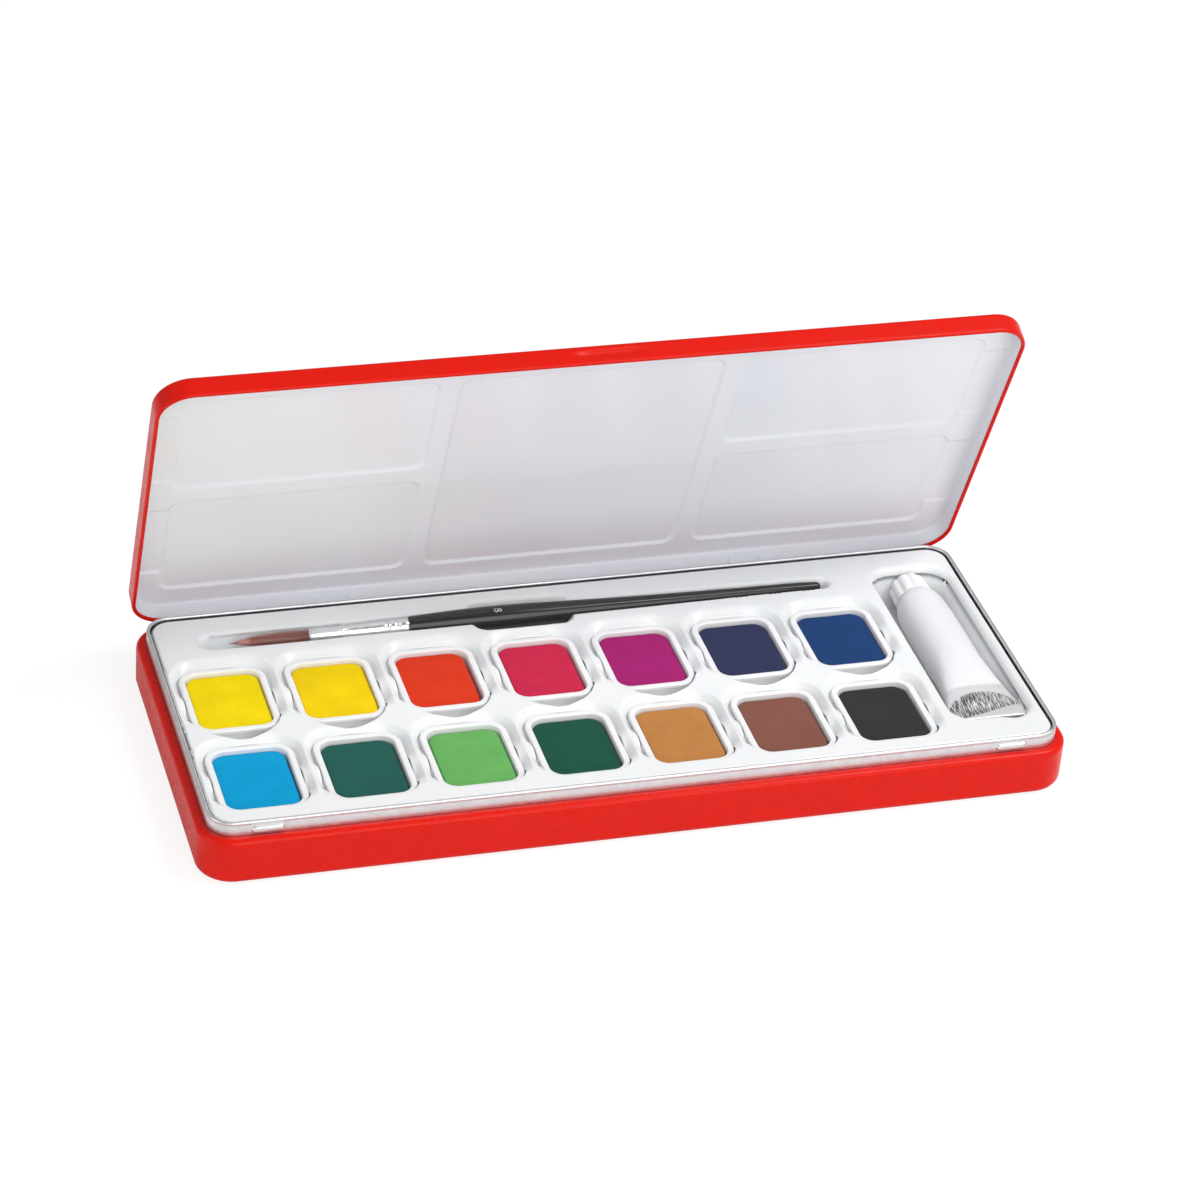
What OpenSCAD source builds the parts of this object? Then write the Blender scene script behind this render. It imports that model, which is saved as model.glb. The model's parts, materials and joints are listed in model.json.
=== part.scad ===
// Hinged tin of gouache pans with a white moulded tray, a sleeved brush and a paint tube.
// Millimetres, +Z up, origin at the centre of the tin's underside, +Y towards the hinge.

/* [Tin] */
// Width of the closed tin, left to right
tin_w = 270; // [268:1:300]
// Depth of the closed tin, front to back
tin_d = 115; // [114:1:130]
// Height of the lower tin up to its rolled shoulder
base_h = 15.3; // [14.8:0.1:18]
// Radius of the tin's four upright corners
corner_r = 11; // [9:0.5:14]
// Thickness of the tin sheet
sheet = 0.4; // [0.3:0.05:0.5]
// Radius of the lower tin's bottom edge
foot_r = 2.6; // [1.5:0.1:3.5]
// Radius of the lower tin's rolled shoulder
shoulder_r = 1.7; // [1:0.1:2.2]

/* [Neck] */
// How far the bright neck stands in from the tin's outer wall
neck_inset = 3.1; // [3:0.1:3.6]
// How far the neck rises above the shoulder
neck_rise = 4.7; // [4.2:0.1:5.2]
// Radius of the bead rolled along the neck's top
bead_r = 0.55; // [0.45:0.05:0.7]
// Distance of each snap lug from the tin's end
lug_inset = 20; // [17:1:35]
// Length of a snap lug
lug_l = 9.6; // [6:0.2:12]
// How far a lug stands out of the neck
lug_out = 0.7; // [0.4:0.1:0.7]

/* [Lid] */
// Height of the lid from its rim to its flat top
lid_h = 7.2; // [6.9:0.1:9]
// Radius of the lid's top edge
lid_edge_r = 1.3; // [1:0.1:3]
// Radius of the wire curl along the lid's rim
curl_r = 0.65; // [0.55:0.05:1.1]
// Space between the lid's rim and the shoulder when the tin is shut
rim_gap = 0.3; // [0.2:0.05:0.6]
// How far the lid stands open from shut
lid_open = 68.25; // [40:0.25:110]
// Depth to which the mixing wells are pressed
well_depth = 0.9; // [0.6:0.1:1.4]
// Depth of the shallow notch that runs from an outer well to the end wall
notch_depth = 0.5; // [0.3:0.1:0.6]
// Corner radius of a mixing well
well_r = 4; // [2:0.5:6]
// Length of the pressed finger groove in the lid's front wall
finger_groove_l = 18; // [12:1:24]
// Distance of the finger groove's middle to the right of the lid's middle
finger_groove_x = 1.8; // [0:0.1:4]

/* [Hinge] */
// Distance of each hinge from the tin's end
hinge_inset = 66.6; // [45:0.2:85]
// Radius of a hinge pin
hinge_pin_r = 0.6; // [0.5:0.05:0.7]
// Radial play of a knuckle on its pin
hinge_play = 0.05; // [0.03:0.01:0.09]
// Width of the middle knuckle, which belongs to the lower tin
knuckle_w = 6; // [4:0.5:9]
// Width of each of the lid's two knuckles
side_knuckle_w = 4; // [3:0.5:6]

/* [Tray] */
// Play between the tray and the neck's bead
tray_play = 0.55; // [0.4:0.05:0.8]
// Thickness of the moulded tray
tray_t = 0.6; // [0.4:0.05:0.7]
// Drop from the neck's top to the tray's face
tray_drop = 0.6; // [0.3:0.1:1.5]
// Strip of tray left of the first column of pans
margin_x = 3.4; // [3:0.1:5]
// Strip of tray in front of the first row of pans
margin_y = 5.6; // [4:0.1:6.2]
// Strip of tray between two columns of pans, and between the last column and the tube's pocket
gap_x = 5.8; // [5.6:0.1:6.6]
// Strip of tray between two rows of pans
gap_y = 7.9; // [7.7:0.1:8.6]
// Strip of tray behind the back row, where the brush lies
brush_strip = 26; // [25.8:0.1:27]
// Play round each pan in its pocket
pan_play = 0.3; // [0.2:0.05:0.4]
// Depth of the half-moon finger recess in front of a back-row pan
moon_depth = 7.4; // [4:0.1:8]
// How far a half-moon recess reaches forward of its pan
moon_reach = 5.6; // [3:0.1:5.7]
// Depth of the dips in the dividers beside a pan
dip_depth = 4; // [2:0.1:6]
// Reach of a dip into its divider
dip_w = 2.1; // [2.05:0.05:2.2]

/* [Pans] */
// Columns of pans
columns = 7;
// Rows of pans
rows = 2;
// Height of a pan
pan_h = 10; // [7:0.1:11]
// Corner radius of a pan's rim
pan_r = 6.2; // [5:0.1:8]
// Width of a pan's rim, from its edge to the paint
rim_w = 2; // [1.6:0.1:2.6]
// How far the rim's flange overhangs the cup's wall
flange_out = 0.7; // [0.3:0.1:0.9]
// Thickness of the rim's flange
flange_t = 1.4; // [0.8:0.1:2]
// How far the paint lies below the rim
paint_drop = 1.3; // [0.8:0.1:3]
// Drop from the tray's face to a pan's rim
pan_drop = 1.4; // [0.3:0.1:1.8]

/* [Brush] */
// Distance of the brush from the tray's back edge
brush_back = 13.5; // [13:0.1:14]
// Distance of the brush's groove from the tray's left edge
groove_start = 13.5; // [12:0.1:16]
// Strip of tray between the groove's end and the tube's pocket
groove_end = 13.1; // [11:0.1:16]
// Space between the handle's end and the groove's end
handle_gap = 3.5; // [2:0.5:12]
// Largest radius of the handle
belly_r = 3.9; // [3.3:0.05:3.9]
// Radius of the handle where the ferrule ends
handle_r = 3.05; // [2.8:0.05:3.2]
// Radius of the handle's far end
handle_end_r = 1.7; // [1.2:0.1:2.4]
// Length of the ferrule that shows
ferrule_l = 31.6; // [26:0.2:34]
// Radius of the ferrule's mouth
mouth_r = 2.35; // [2.1:0.05:2.4]
// Length of the bristles
bristle_l = 25.7; // [20:0.1:27]
// Length of the clear sleeve
sleeve_l = 41.2; // [38:0.1:43]
// Outer radius of the sleeve
sleeve_r = 2.95; // [2.9:0.05:3.2]
// Thickness of the sleeve
sleeve_t = 0.22; // [0.15:0.01:0.25]
// Rings of bristles round the middle one
bristle_rings = 10; // [10:1:11]

/* [Tube] */
// Width of the tube's pocket
pocket_w = 25.9; // [25.8:0.1:26.2]
// Strip of tray behind the tube's pocket
pocket_behind = 10.4; // [9:0.1:11]
// Strip of tray in front of the tube's pocket
pocket_front = 11.1; // [9:0.1:12]
// Strip of tray right of the tube's pocket
pocket_margin = 3; // [2.6:0.1:3.4]
// Radius of the round part of the tube
tube_r = 8.4; // [8:0.1:8.6]
// Depth of the tube's pocket under the tray's top
pocket_depth = 14.9; // [14.7:0.1:15.6]
// Space between the tube's tail and the pocket's front end
tail_gap = 3.7; // [3.6:0.1:8]
// Length of the tube's flattening part
tube_flat_l = 29; // [24:1:31]
// Width of the folded tail
tail_w = 24; // [22:0.1:24.4]
// Length of the folded tail
tail_l = 5; // [3:0.5:6]
// Thickness of the tube's wall
tube_wall = 0.35; // [0.25:0.05:0.4]
// Length of the screw cap
cap_l = 8.4; // [7.6:0.1:9]
// Radius of the cap at the tube's shoulder
cap_r = 6.5; // [6:0.1:6.8]
// Number of flutes round the cap
flutes = 12; // [8:1:14]

/* [Hidden] */
PANS = columns * rows;
function pan_name(kind, i) = str(kind, i < 9 ? "_0" : "_", i + 1);
$fn = 64;

seat = 0.05;             // play between a piece and the face it sits on
lie = 0.3;               // play under a round piece that lies in its pocket
over = 1;                // how far a cut runs past the face it opens
cavity_end = 40;         // how far a cut above a hollow runs

// Neck lugs
lug_x = tin_w / 2 - lug_inset;
lug_r = 1;
lug_z = base_h + 1.8;

// Heights
neck_top = base_h + neck_rise;
tray_top = neck_top - tray_drop;
rim_z = base_h + rim_gap;
lid_top = rim_z + lid_h;
lip_h = 1.2;             // height of the shoulder's turned-down lip

// Tray outline
tray_inset = neck_inset + 2 * bead_r + tray_play;
tray_w = tin_w - 2 * tray_inset;
tray_d = tin_d - 2 * tray_inset;
tray_r = corner_r - tray_inset;
tray_foot = sheet + 0.1;
bump_l = 13;             // snap bumps on the tray's back edge
bump_r = 0.8;
bump_out = 0.35;

// Pans
pan_w = (tray_w - margin_x - columns * gap_x - pocket_w - pocket_margin) / columns;
pan_d = (tray_d - margin_y - (rows - 1) * gap_y - brush_strip) / rows;
pitch_x = pan_w + gap_x;
pitch_y = pan_d + gap_y;
pan_x0 = -tray_w / 2 + margin_x + pan_w / 2;
pan_y0 = -tray_d / 2 + margin_y + pan_d / 2;
pan_top = tray_top - pan_drop;
pan_z = pan_top - pan_h;
pan_floor = 1;
moon_r = 13;             // radius of a half-moon recess
dip_l = 10;              // length of a dip along its divider
dip_y = 8.6;             // distance of a dip from the pan's middle
bank_reach = 2.4;        // reach of the bank behind a pan
bank_depth = 2.2;
bank_in = 2;             // distance by which a bank's ends stand in from the pan's sides
PAINTS = ["#f0d600", "#f0cd00", "#d9391b", "#c9284a", "#a3216e", "#313555", "#1c3e6f",
          "#009bcf", "#235b52", "#68af5f", "#1c5241", "#bc8045", "#855448", "#343434"];

// Hinge axis
hinge_x = tin_w / 2 - hinge_inset;
hinge_y = tin_d / 2;     // the hinge lies in the plane of the back wall
hinge_z = rim_z - 1.7;
knuckle_r = hinge_pin_r + hinge_play + sheet;
knuckle_gap = 0.2;       // end play between neighbouring knuckles
relief = 0.2;            // clearance of the slot round the knuckles
base_leaf_h = 7;
lid_leaf_h = rim_z - hinge_z + 3.6;
station_w = knuckle_w + 2 * (knuckle_gap + side_knuckle_w);
slot_w = station_w + 2 * knuckle_gap;
pin_l = station_w - 0.4;

// Mixing wells, in the shut lid: sizes, and distances from the front rim and the hinge side
outer_well_w = 77.8;
well_rib = 6.3;          // rib between the centre well and its neighbours
well_end = 9.6;          // strip between an outer well and the lid's end
centre_well_w = tin_w - 2 * (outer_well_w + well_rib + well_end);
front_border = 12.6;
back_border = 8.3;
cross_rib = 7;           // rib between the front and back wells
front_share = 0.483;     // the front wells' share of the depth that both rows of wells take
wells_d = tin_d - front_border - back_border - cross_rib;
front_well_d = front_share * wells_d;
front_notch = [6.2, 4.4];    // how far a notch's ends stand in from its well's front and back edge
back_notch = [3.3, 9.6];

// Finger groove in the lid's front
groove_press_r = 1.1;    // radius of the pressing
groove_out = 0.7;        // distance of its axis outside the front wall
groove_up = 3.4;         // height of its axis over the rim

// Brush
brush_y = tray_d / 2 - brush_back;
brush_z = tray_top - 1.4;
groove_r = 4.1;
groove_x = groove_start - tray_w / 2;
groove_l = tray_w - groove_start - groove_end - pocket_w - pocket_margin;
groove_floor = brush_z - belly_r - lie;
sleeve_gap = 3.2;        // space between the groove's end and the sleeve
tip_gap = 5;             // space between the sleeve's end and the bristles' tip
sleeve_x = groove_x + sleeve_gap;
bristle_tip = sleeve_x + tip_gap;
ferrule_x = bristle_tip + bristle_l;
handle_x = ferrule_x + ferrule_l;
handle_l = groove_x + groove_l - handle_gap - handle_x;
belly_at = 29;           // distance of the handle's belly from the ferrule
ferrule_end_r = handle_r + 0.15;
ferrule_t = 0.25;
plug_l = 12;             // length of the handle that the ferrule holds
crimp_at = [3.1, 6.3];   // crimp rings, from the ferrule's end
scoop_at = 19.8;         // distance of the finger recess from the ferrule's end
scoop_x = handle_x + scoop_at;
scoop_l = 33;
scoop_half = 8.2;
tuft_root = 3;           // length of the bristles inside the ferrule
strand_w = 0.075;        // radius of a bristle
root_t = 1;              // thickness of the slice that the bristles are set in
root_in = 0.5;           // how far the slice lies behind the bristles' ends
tuft_r = mouth_r - ferrule_t - 0.1;

// Tube
pocket_x = tray_w / 2 - pocket_margin - pocket_w / 2;
pocket_back = tray_d / 2 - pocket_behind;
pocket_l = tray_d - pocket_behind - pocket_front;
pocket_floor = tray_top - pocket_depth;
pocket_r = 5.5;
tube_x = pocket_x + 0.9;  // the tube lies a little right of the pocket's middle
tail_x = pocket_x + 0.3;
tube_z = pocket_floor + tube_r + lie;
cap_back_r = cap_r - 0.4;
cap_gap = 1.9;           // space between the cap and the pocket's back end
cap_y = pocket_back - cap_gap - cap_l;
shoulder_gap = 0.4;
nozzle_r = 3.92;
nozzle_bore = 2.4;
nozzle_l = 6.4;
nozzle_y = cap_y - shoulder_gap;
shoulder_l = 1.8;
taper_l = 5;             // the body draws in towards the shoulder
taper_r = tube_r - 1;
round_y = nozzle_y - shoulder_l - taper_l;
tube_round_l = pocket_l - cap_gap - cap_l - shoulder_gap - shoulder_l - taper_l - tube_flat_l - tail_l - tail_gap;
flat_y = round_y - tube_round_l;
tail_y = flat_y - tube_flat_l;
tail_rise = 2.8;         // the tail is bent up from the tube's middle
tail_z = tube_z + tail_rise;
tail_t = 1.2;
tube_step = 0.15;        // the tube draws in a little where it starts to flatten
flute_r = 1.4;
cap_play = 0.08;

// A rectangle with round corners, centred
module rounded_rect(w, d, r) {
    square([w - 2 * r, d], center = true);
    square([w, d - 2 * r], center = true);
    for (x = [-1, 1], y = [-1, 1])
        translate([x * (w / 2 - r), y * (d / 2 - r)]) circle(r);
}

// An upright block with round corners, from z = low to z = high
module rounded_block(w, d, r, low, high) {
    translate([0, 0, low]) linear_extrude(high - low) rounded_rect(w, d, r);
}

// Carries a section round a rounded rectangle: the section's x is the distance in from the outer
// face and its y is the height
module around(w, d, r) {
    for (x = [0, 1], y = [0, 1])
        mirror([x, 0, 0]) mirror([0, y, 0]) {
            translate([w / 2 - r, d / 2 - r, 0]) rotate_extrude(angle = 90) translate([r, 0]) mirror([1, 0]) children();
        }
    for (y = [0, 1])
        mirror([0, y, 0]) translate([r - w / 2, -d / 2, 0]) rotate([90, 0, 90]) linear_extrude(w - 2 * r) children();
    for (x = [0, 1])
        mirror([x, 0, 0]) translate([-w / 2, d / 2 - r, 0]) rotate([90, 0, 0]) linear_extrude(d - 2 * r) children();
}

// A bar with ball ends along X, centred
module pill(l, r) {
    rotate([0, 90, 0]) cylinder(h = l - 2 * r, r = r, center = true);
    for (x = [-1, 1]) translate([x * (l / 2 - r), 0, 0]) sphere(r);
}

// ---- Tin ----

// The lower tin's filled section, drawn in by o
module base_section(o) {
    translate([foot_r, o]) square([corner_r - foot_r, base_h - 2 * o]);
    translate([o, foot_r]) square([corner_r - o, base_h - foot_r - shoulder_r]);
    translate([foot_r, foot_r]) circle(foot_r - o);
    translate([shoulder_r, base_h - shoulder_r]) circle(shoulder_r - o);
}

module base_shell() color("#e21a0e") difference() {
    base_body();
    at_hinges() hinge_slot();
}

module base_body() {
    around(tin_w, tin_d, corner_r) {
        difference() {
            base_section(0);
            base_section(sheet);
            translate([neck_inset, sheet]) square([corner_r, base_h]);
        }
        translate([neck_inset - sheet, base_h - lip_h]) square([sheet, lip_h - sheet / 2]);
        translate([foot_r, 0]) square([corner_r - foot_r, sheet]);
    }
    translate([0, 0, sheet / 2]) cube([tin_w - 2 * corner_r, tin_d - 2 * corner_r, sheet], center = true);
}

// The slot of one hinge in the tin's back wall: round the knuckles, and open upwards for the lid's straps
module hinge_slot() {
    rotate([0, 90, 0]) cylinder(h = slot_w, r = knuckle_r + relief, center = true);
    translate([-slot_w / 2, -2 * sheet - relief, 0]) cube([slot_w, 2 * sheet + relief + over, base_h]);
}

module neck_frame() color("#c9cbcc") {
    around(tin_w - 2 * neck_inset, tin_d - 2 * neck_inset, corner_r - neck_inset) {
        translate([0, sheet]) square([sheet, neck_top - bead_r - sheet]);
        translate([bead_r, neck_top - bead_r]) circle(bead_r);
    }
    for (x = [-1, 1])
        intersection() {
            translate([x * lug_x, neck_inset - tin_d / 2 + lug_r - lug_out, lug_z]) pill(lug_l, lug_r);
            translate([x * lug_x, neck_inset - tin_d / 2 - lug_r + sheet / 2, lug_z])
                cube([lug_l + over, 2 * lug_r, 4 * lug_r], center = true);
        }
}

// Everything drawn on the two hinge stations
module at_hinges() {
    for (x = [-1, 1]) translate([x * hinge_x, hinge_y, hinge_z]) children();
}

// One knuckle of width w with its strap, which runs along the wall's inside towards dir
module knuckle(w, strap_h, dir) {
    difference() {
        union() {
            rotate([0, 90, 0]) cylinder(h = w, r = knuckle_r, center = true);
            translate([-w / 2, -2 * sheet, min(0, dir * strap_h)]) cube([w, sheet, strap_h]);
        }
        rotate([0, 90, 0]) cylinder(h = w + over, r = hinge_pin_r + hinge_play, center = true);
    }
}

module base_hinge_leaves() color("#b9bcbe") at_hinges() knuckle(knuckle_w, base_leaf_h, -1);

module hinge_pins() color("#8f9396") at_hinges() rotate([0, 90, 0]) cylinder(h = pin_l, r = hinge_pin_r, center = true);

// Turns the lid's pieces, drawn shut, to where the lid stands
module opened() {
    translate([0, hinge_y, hinge_z]) rotate([-lid_open, 0, 0]) translate([0, -hinge_y, -hinge_z]) children();
}

module lid_hinge_leaves() color("#b9bcbe") opened() at_hinges()
    for (x = [-1, 1])
        translate([x * (knuckle_w / 2 + knuckle_gap + side_knuckle_w / 2), 0, 0])
            knuckle(side_knuckle_w, lid_leaf_h, 1);

// The lid's filled section, drawn in by o; its height is measured up from the rim
module lid_section(o) {
    translate([lid_edge_r, 0]) square([corner_r - lid_edge_r, lid_h - o]);
    translate([o, 0]) square([corner_r - o, lid_h - lid_edge_r]);
    translate([lid_edge_r, lid_h - lid_edge_r]) circle(lid_edge_r - o);
}

// The five wells and four notches as blocks that stand g larger than their hollows
module wells(g) {
    front_y = -tin_d / 2 + front_border;
    back_y = tin_d / 2 - back_border;
    rear_y = front_y + front_well_d + cross_rib;
    outer_x = centre_well_w / 2 + well_rib + outer_well_w / 2;
    top = lid_top - sheet + well_depth + g;
    low = lid_top - sheet - (g > 0 ? 0 : over);
    block_w = outer_well_w + 2 * g;
    translate([0, (front_y + back_y) / 2, 0])
        rounded_block(centre_well_w + 2 * g, back_y - front_y + 2 * g, well_r + g, low, top);
    for (x = [-1, 1]) {
        translate([x * outer_x, front_y + front_well_d / 2, 0])
            rounded_block(block_w, front_well_d + 2 * g, well_r + g, low, top);
        translate([x * outer_x, (rear_y + back_y) / 2, 0])
            rounded_block(block_w, back_y - rear_y + 2 * g, well_r + g, low, top);
        notch(x, front_y + front_notch[0], front_y + front_well_d - front_notch[1], g, low);
        notch(x, rear_y + back_notch[0], back_y - back_notch[1], g, low);
    }
}

// A shallow notch from an outer well over the lid's edge on side x, between two distances along Y
module notch(x, start, end, g, low) {
    from_x = centre_well_w / 2 + well_rib + outer_well_w - well_r;
    to_x = tin_w / 2 - sheet + g;
    foot = g > 0 ? lid_top - lid_edge_r : low;
    top = lid_top - sheet + notch_depth + g;
    mirror([x < 0 ? 1 : 0, 0, 0]) {
        translate([from_x, start - g, low]) cube([to_x - lid_edge_r - from_x, end - start + 2 * g, top - low]);
        translate([to_x - lid_edge_r - over, start - g, foot]) cube([lid_edge_r + over, end - start + 2 * g, top - foot]);
    }
}

module finger_groove(r) {
    translate([finger_groove_x, -tin_d / 2 - groove_out, rim_z + groove_up])
        pill(finger_groove_l + 2 * (r - groove_press_r), r);
}

module lid_shell() color("#e21a0e") opened() difference() {
    union() {
        translate([0, 0, rim_z]) around(tin_w, tin_d, corner_r) {
            difference() {
                lid_section(0);
                lid_section(sheet);
            }
            translate([curl_r, curl_r]) circle(curl_r);
        }
        translate([0, 0, lid_top - sheet / 2])
            cube([tin_w - 2 * corner_r, tin_d - 2 * corner_r, sheet], center = true);
        wells(sheet);
        intersection() {
            finger_groove(groove_press_r + sheet);
            translate([0, -tin_d / 2 + 1, lid_top - lid_h / 2]) cube([tin_w, 2, lid_h], center = true);
        }
    }
    wells(0);
    finger_groove(groove_press_r);
    at_hinges() translate([-slot_w / 2, -2 * curl_r - sheet, rim_z - hinge_z - over])
        cube([slot_w, 2 * curl_r, 2 * curl_r + sheet + over]);
}

// ---- Tray ----

function pan_at(i) = [pan_x0 + (i % columns) * pitch_x, pan_y0 + (rows - 1 - floor(i / columns)) * pitch_y];

// A hollow of the tray, or with g = tray_t the block it is moulded from
module hollow(w, d, r, floor_z, g) {
    rounded_block(w + 2 * g, d + 2 * g, r + g, floor_z - g, g > 0 ? tray_top : tray_top + over);
}

module pan_pocket(g, back_row) {
    half_w = pan_w / 2 + pan_play;
    half_d = pan_d / 2 + pan_play;
    hollow(2 * half_w, 2 * half_d, pan_r + pan_play, pan_z - seat, g);
    for (x = [-1, 1], y = [-1, 1])
        translate([x * half_w, y * dip_y, 0]) hollow(2 * dip_w, dip_l, dip_w - 0.1, tray_top - dip_depth, g);
    if (back_row) {
        translate([0, half_d, 0]) hollow(pan_w - 2 * bank_in, 2 * bank_reach, bank_reach - 0.1, tray_top - bank_depth, g);
        translate([0, moon_r - moon_reach - half_d, tray_top - moon_depth - g])
            cylinder(h = moon_depth + g + (g > 0 ? 0 : over), r = moon_r + g);
    }
}

// Half of the brush groove's section, from its middle out
module groove_section(g) {
    intersection() {
        circle(groove_r + g);
        translate([0, -2 * groove_r]) square([2 * groove_r, 2 * groove_r + over / 2]);
    }
    square([groove_r + g, tray_top - groove_floor - groove_r + (g > 0 ? 0 : over)]);
}

module brush_groove(g) {
    for (x = [0, 1])
        translate([groove_x + groove_l / 2, brush_y, groove_floor + groove_r]) mirror([x, 0, 0])
            translate([groove_l / 2 - groove_r, 0, 0]) rotate([0, 0, -90]) rotate_extrude(angle = 180) groove_section(g);
    for (y = [0, 1])
        translate([groove_x + groove_r, brush_y, groove_floor + groove_r]) mirror([0, y, 0])
            rotate([90, 0, 90]) linear_extrude(groove_l - 2 * groove_r) groove_section(g);
    translate([scoop_x + scoop_l / 2, brush_y, 0]) hollow(scoop_l, 2 * scoop_half, scoop_half - 2, groove_floor, g);
}

module tube_pocket(g) {
    translate([pocket_x, pocket_back - pocket_l / 2, 0]) hollow(pocket_w, pocket_l, pocket_r, pocket_floor, g);
}

module tray_hollows(g) {
    for (i = [0 : PANS - 1]) translate(pan_at(i)) pan_pocket(g, i < columns);
    brush_groove(g);
    tube_pocket(g);
}

module tray() color("#f1f1f1") difference() {
    union() {
        difference() {
            rounded_block(tray_w, tray_d, tray_r, tray_foot, tray_top);
            rounded_block(tray_w - 2 * tray_t, tray_d - 2 * tray_t, tray_r - tray_t, 0, tray_top - tray_t);
        }
        tray_hollows(tray_t);
        for (x = [-1, 1])
            translate([x * hinge_x, tray_d / 2 + bump_out - bump_r, tray_top - bump_r - 0.3]) pill(bump_l, bump_r);
    }
    tray_hollows(0);
}

// ---- Pans ----

cup_w = pan_w - 2 * rim_w;
cup_d = pan_d - 2 * rim_w;
cup_r = pan_r - rim_w;

module pan(i) color("#f4f4f2") translate(concat(pan_at(i), [0])) difference() {
    union() {
        rounded_block(pan_w - 2 * flange_out, pan_d - 2 * flange_out, pan_r - flange_out, pan_z, pan_top - flange_t / 2);
        rounded_block(pan_w, pan_d, pan_r, pan_top - flange_t, pan_top);
    }
    rounded_block(cup_w, cup_d, cup_r, pan_z + pan_floor, pan_top + over);
}

module paint(i) color(PAINTS[i % len(PAINTS)]) translate(concat(pan_at(i), [0]))
    rounded_block(cup_w - 2 * seat, cup_d - 2 * seat, cup_r - seat, pan_z + pan_floor, pan_top - paint_drop);

// ---- Brush ----

// Turns a profile, drawn as [radius, distance], round the brush's axis from distance x
module turned(x) {
    translate([x, brush_y, brush_z]) rotate([90, 0, 90]) rotate_extrude() children();
}

HANDLE_STEPS = 12;
// Radius of the handle at the share t of its length
function swell(t) = t < belly_at / handle_l
    ? handle_r + (belly_r - handle_r) * sin(90 * t * handle_l / belly_at)
    : handle_end_r + (belly_r - handle_end_r) * (1 + cos(180 * (t - belly_at / handle_l) / (1 - belly_at / handle_l))) / 2;

module brush_handle() color("#141414") turned(handle_x) {
    polygon(concat(
        [[0, 0]],
        [for (i = [0 : HANDLE_STEPS]) [swell(i / HANDLE_STEPS), i / HANDLE_STEPS * (handle_l - handle_end_r)]],
        [for (a = [22.5 : 22.5 : 90]) [handle_end_r * cos(a), handle_l - handle_end_r + handle_end_r * sin(a)]]
    ));
    translate([0, -plug_l]) square([mouth_r - ferrule_t, plug_l]);
}

// Radius of the ferrule at the distance d from its mouth
function ferrule_radius(d) = mouth_r + (ferrule_end_r - mouth_r) * d / ferrule_l;

module brush_ferrule() color("#c4c6c8") turned(ferrule_x) difference() {
    union() {
        polygon([[mouth_r - ferrule_t, 0], [mouth_r, 0], [ferrule_end_r, ferrule_l], [mouth_r - ferrule_t, ferrule_l]]);
        for (at = crimp_at) translate([ferrule_radius(ferrule_l - at) - 0.35, ferrule_l - at]) circle(0.5);
    }
    for (at = crimp_at) translate([ferrule_radius(ferrule_l - at) + 0.75, ferrule_l - at + 1.3]) circle(1);
}

BRISTLE_COUNT = 1 + 3 * bristle_rings * (bristle_rings + 1);
// Place of bristle k in ring n, on a section of radius 1
function bristle_place(n, k) = n == 0 ? [0, 0] : n / bristle_rings * [cos(60 * k / n), sin(60 * k / n)];
PLACES = [for (n = [0 : bristle_rings]) for (k = [0 : max(0, 6 * n - 1)]) bristle_place(n, k)];
// Tuft radius along its length: a slight belly, then a point
TUFT = [[-tuft_root, 1], [bristle_l * 0.6, 1.02]];
function bristle_end(p) = bristle_l * (1 - 0.2 * norm(p));
// The bristles draw together evenly beyond the last ring, so that none crosses another
function tip_spread(p) = 1.02 - 0.92 * (bristle_end(p) / bristle_l - 0.6) / 0.4;

// Corners of the three-sided bristle at place p
function bristle_ring(p, at, spread) = [for (a = [0, 120, 240])
    [at, spread * (tuft_r * p[1] + strand_w * sin(a)), spread * (tuft_r * p[0] + strand_w * cos(a))]];
function bristle_points(p) = concat(
    [for (s = TUFT) each bristle_ring(p, s[0], s[1])],
    [[bristle_end(p), tip_spread(p) * tuft_r * p[1], tip_spread(p) * tuft_r * p[0]]]);
function bristle_faces(b) = concat(
    [[b, b + 2, b + 1]],
    [for (k = [0 : 2]) let (l = b + k, n = b + (k + 1) % 3) each [[l, n, l + 3], [n, n + 3, l + 3]]],
    [for (k = [0 : 2]) [b + 3 + k, b + 3 + (k + 1) % 3, b + 6]]);

module brush_bristles() color("#7a3026")
    translate([ferrule_x, brush_y, brush_z]) mirror([1, 0, 0]) resize([bristle_l + tuft_root + root_in, 0, 0]) union() {
        translate([-tuft_root - root_in, 0, 0]) rotate([0, 90, 0]) cylinder(h = root_t, r = tuft_r + seat, $fn = 32);
        polyhedron(
            points = [for (p = PLACES) each bristle_points(p)],
            faces = [for (i = [0 : BRISTLE_COUNT - 1]) each bristle_faces(7 * i)]);
    }

module brush_sleeve() color("#dfe8ea", 0.4) turned(sleeve_x)
    translate([sleeve_r - sleeve_t, 0]) square([sleeve_t, sleeve_l]);

// ---- Tube ----

// Draws along the tube's axis: +Z of the children points from the tail to the cap
module along_tube(y) {
    translate([tube_x, y, tube_z]) rotate([-90, 0, 0]) children();
}

// The tube's filled form from the tail to the shoulder, drawn in by o
module tube_form(o) {
    along_tube(flat_y) cylinder(h = tube_round_l, r = tube_r - o);
    along_tube(round_y) cylinder(h = taper_l, r1 = tube_r - o, r2 = taper_r - o);
    along_tube(round_y + taper_l) cylinder(h = shoulder_l - o, r1 = taper_r - o, r2 = nozzle_r + 0.5 - o);
    hull() {
        along_tube(flat_y) cylinder(h = tube_step, r = tube_r - tube_step - o);
        translate([tail_x, tail_y, tail_z]) cube([tail_w - 2 * o, 0.01, tail_t - 2 * o], center = true);
    }
}

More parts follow.
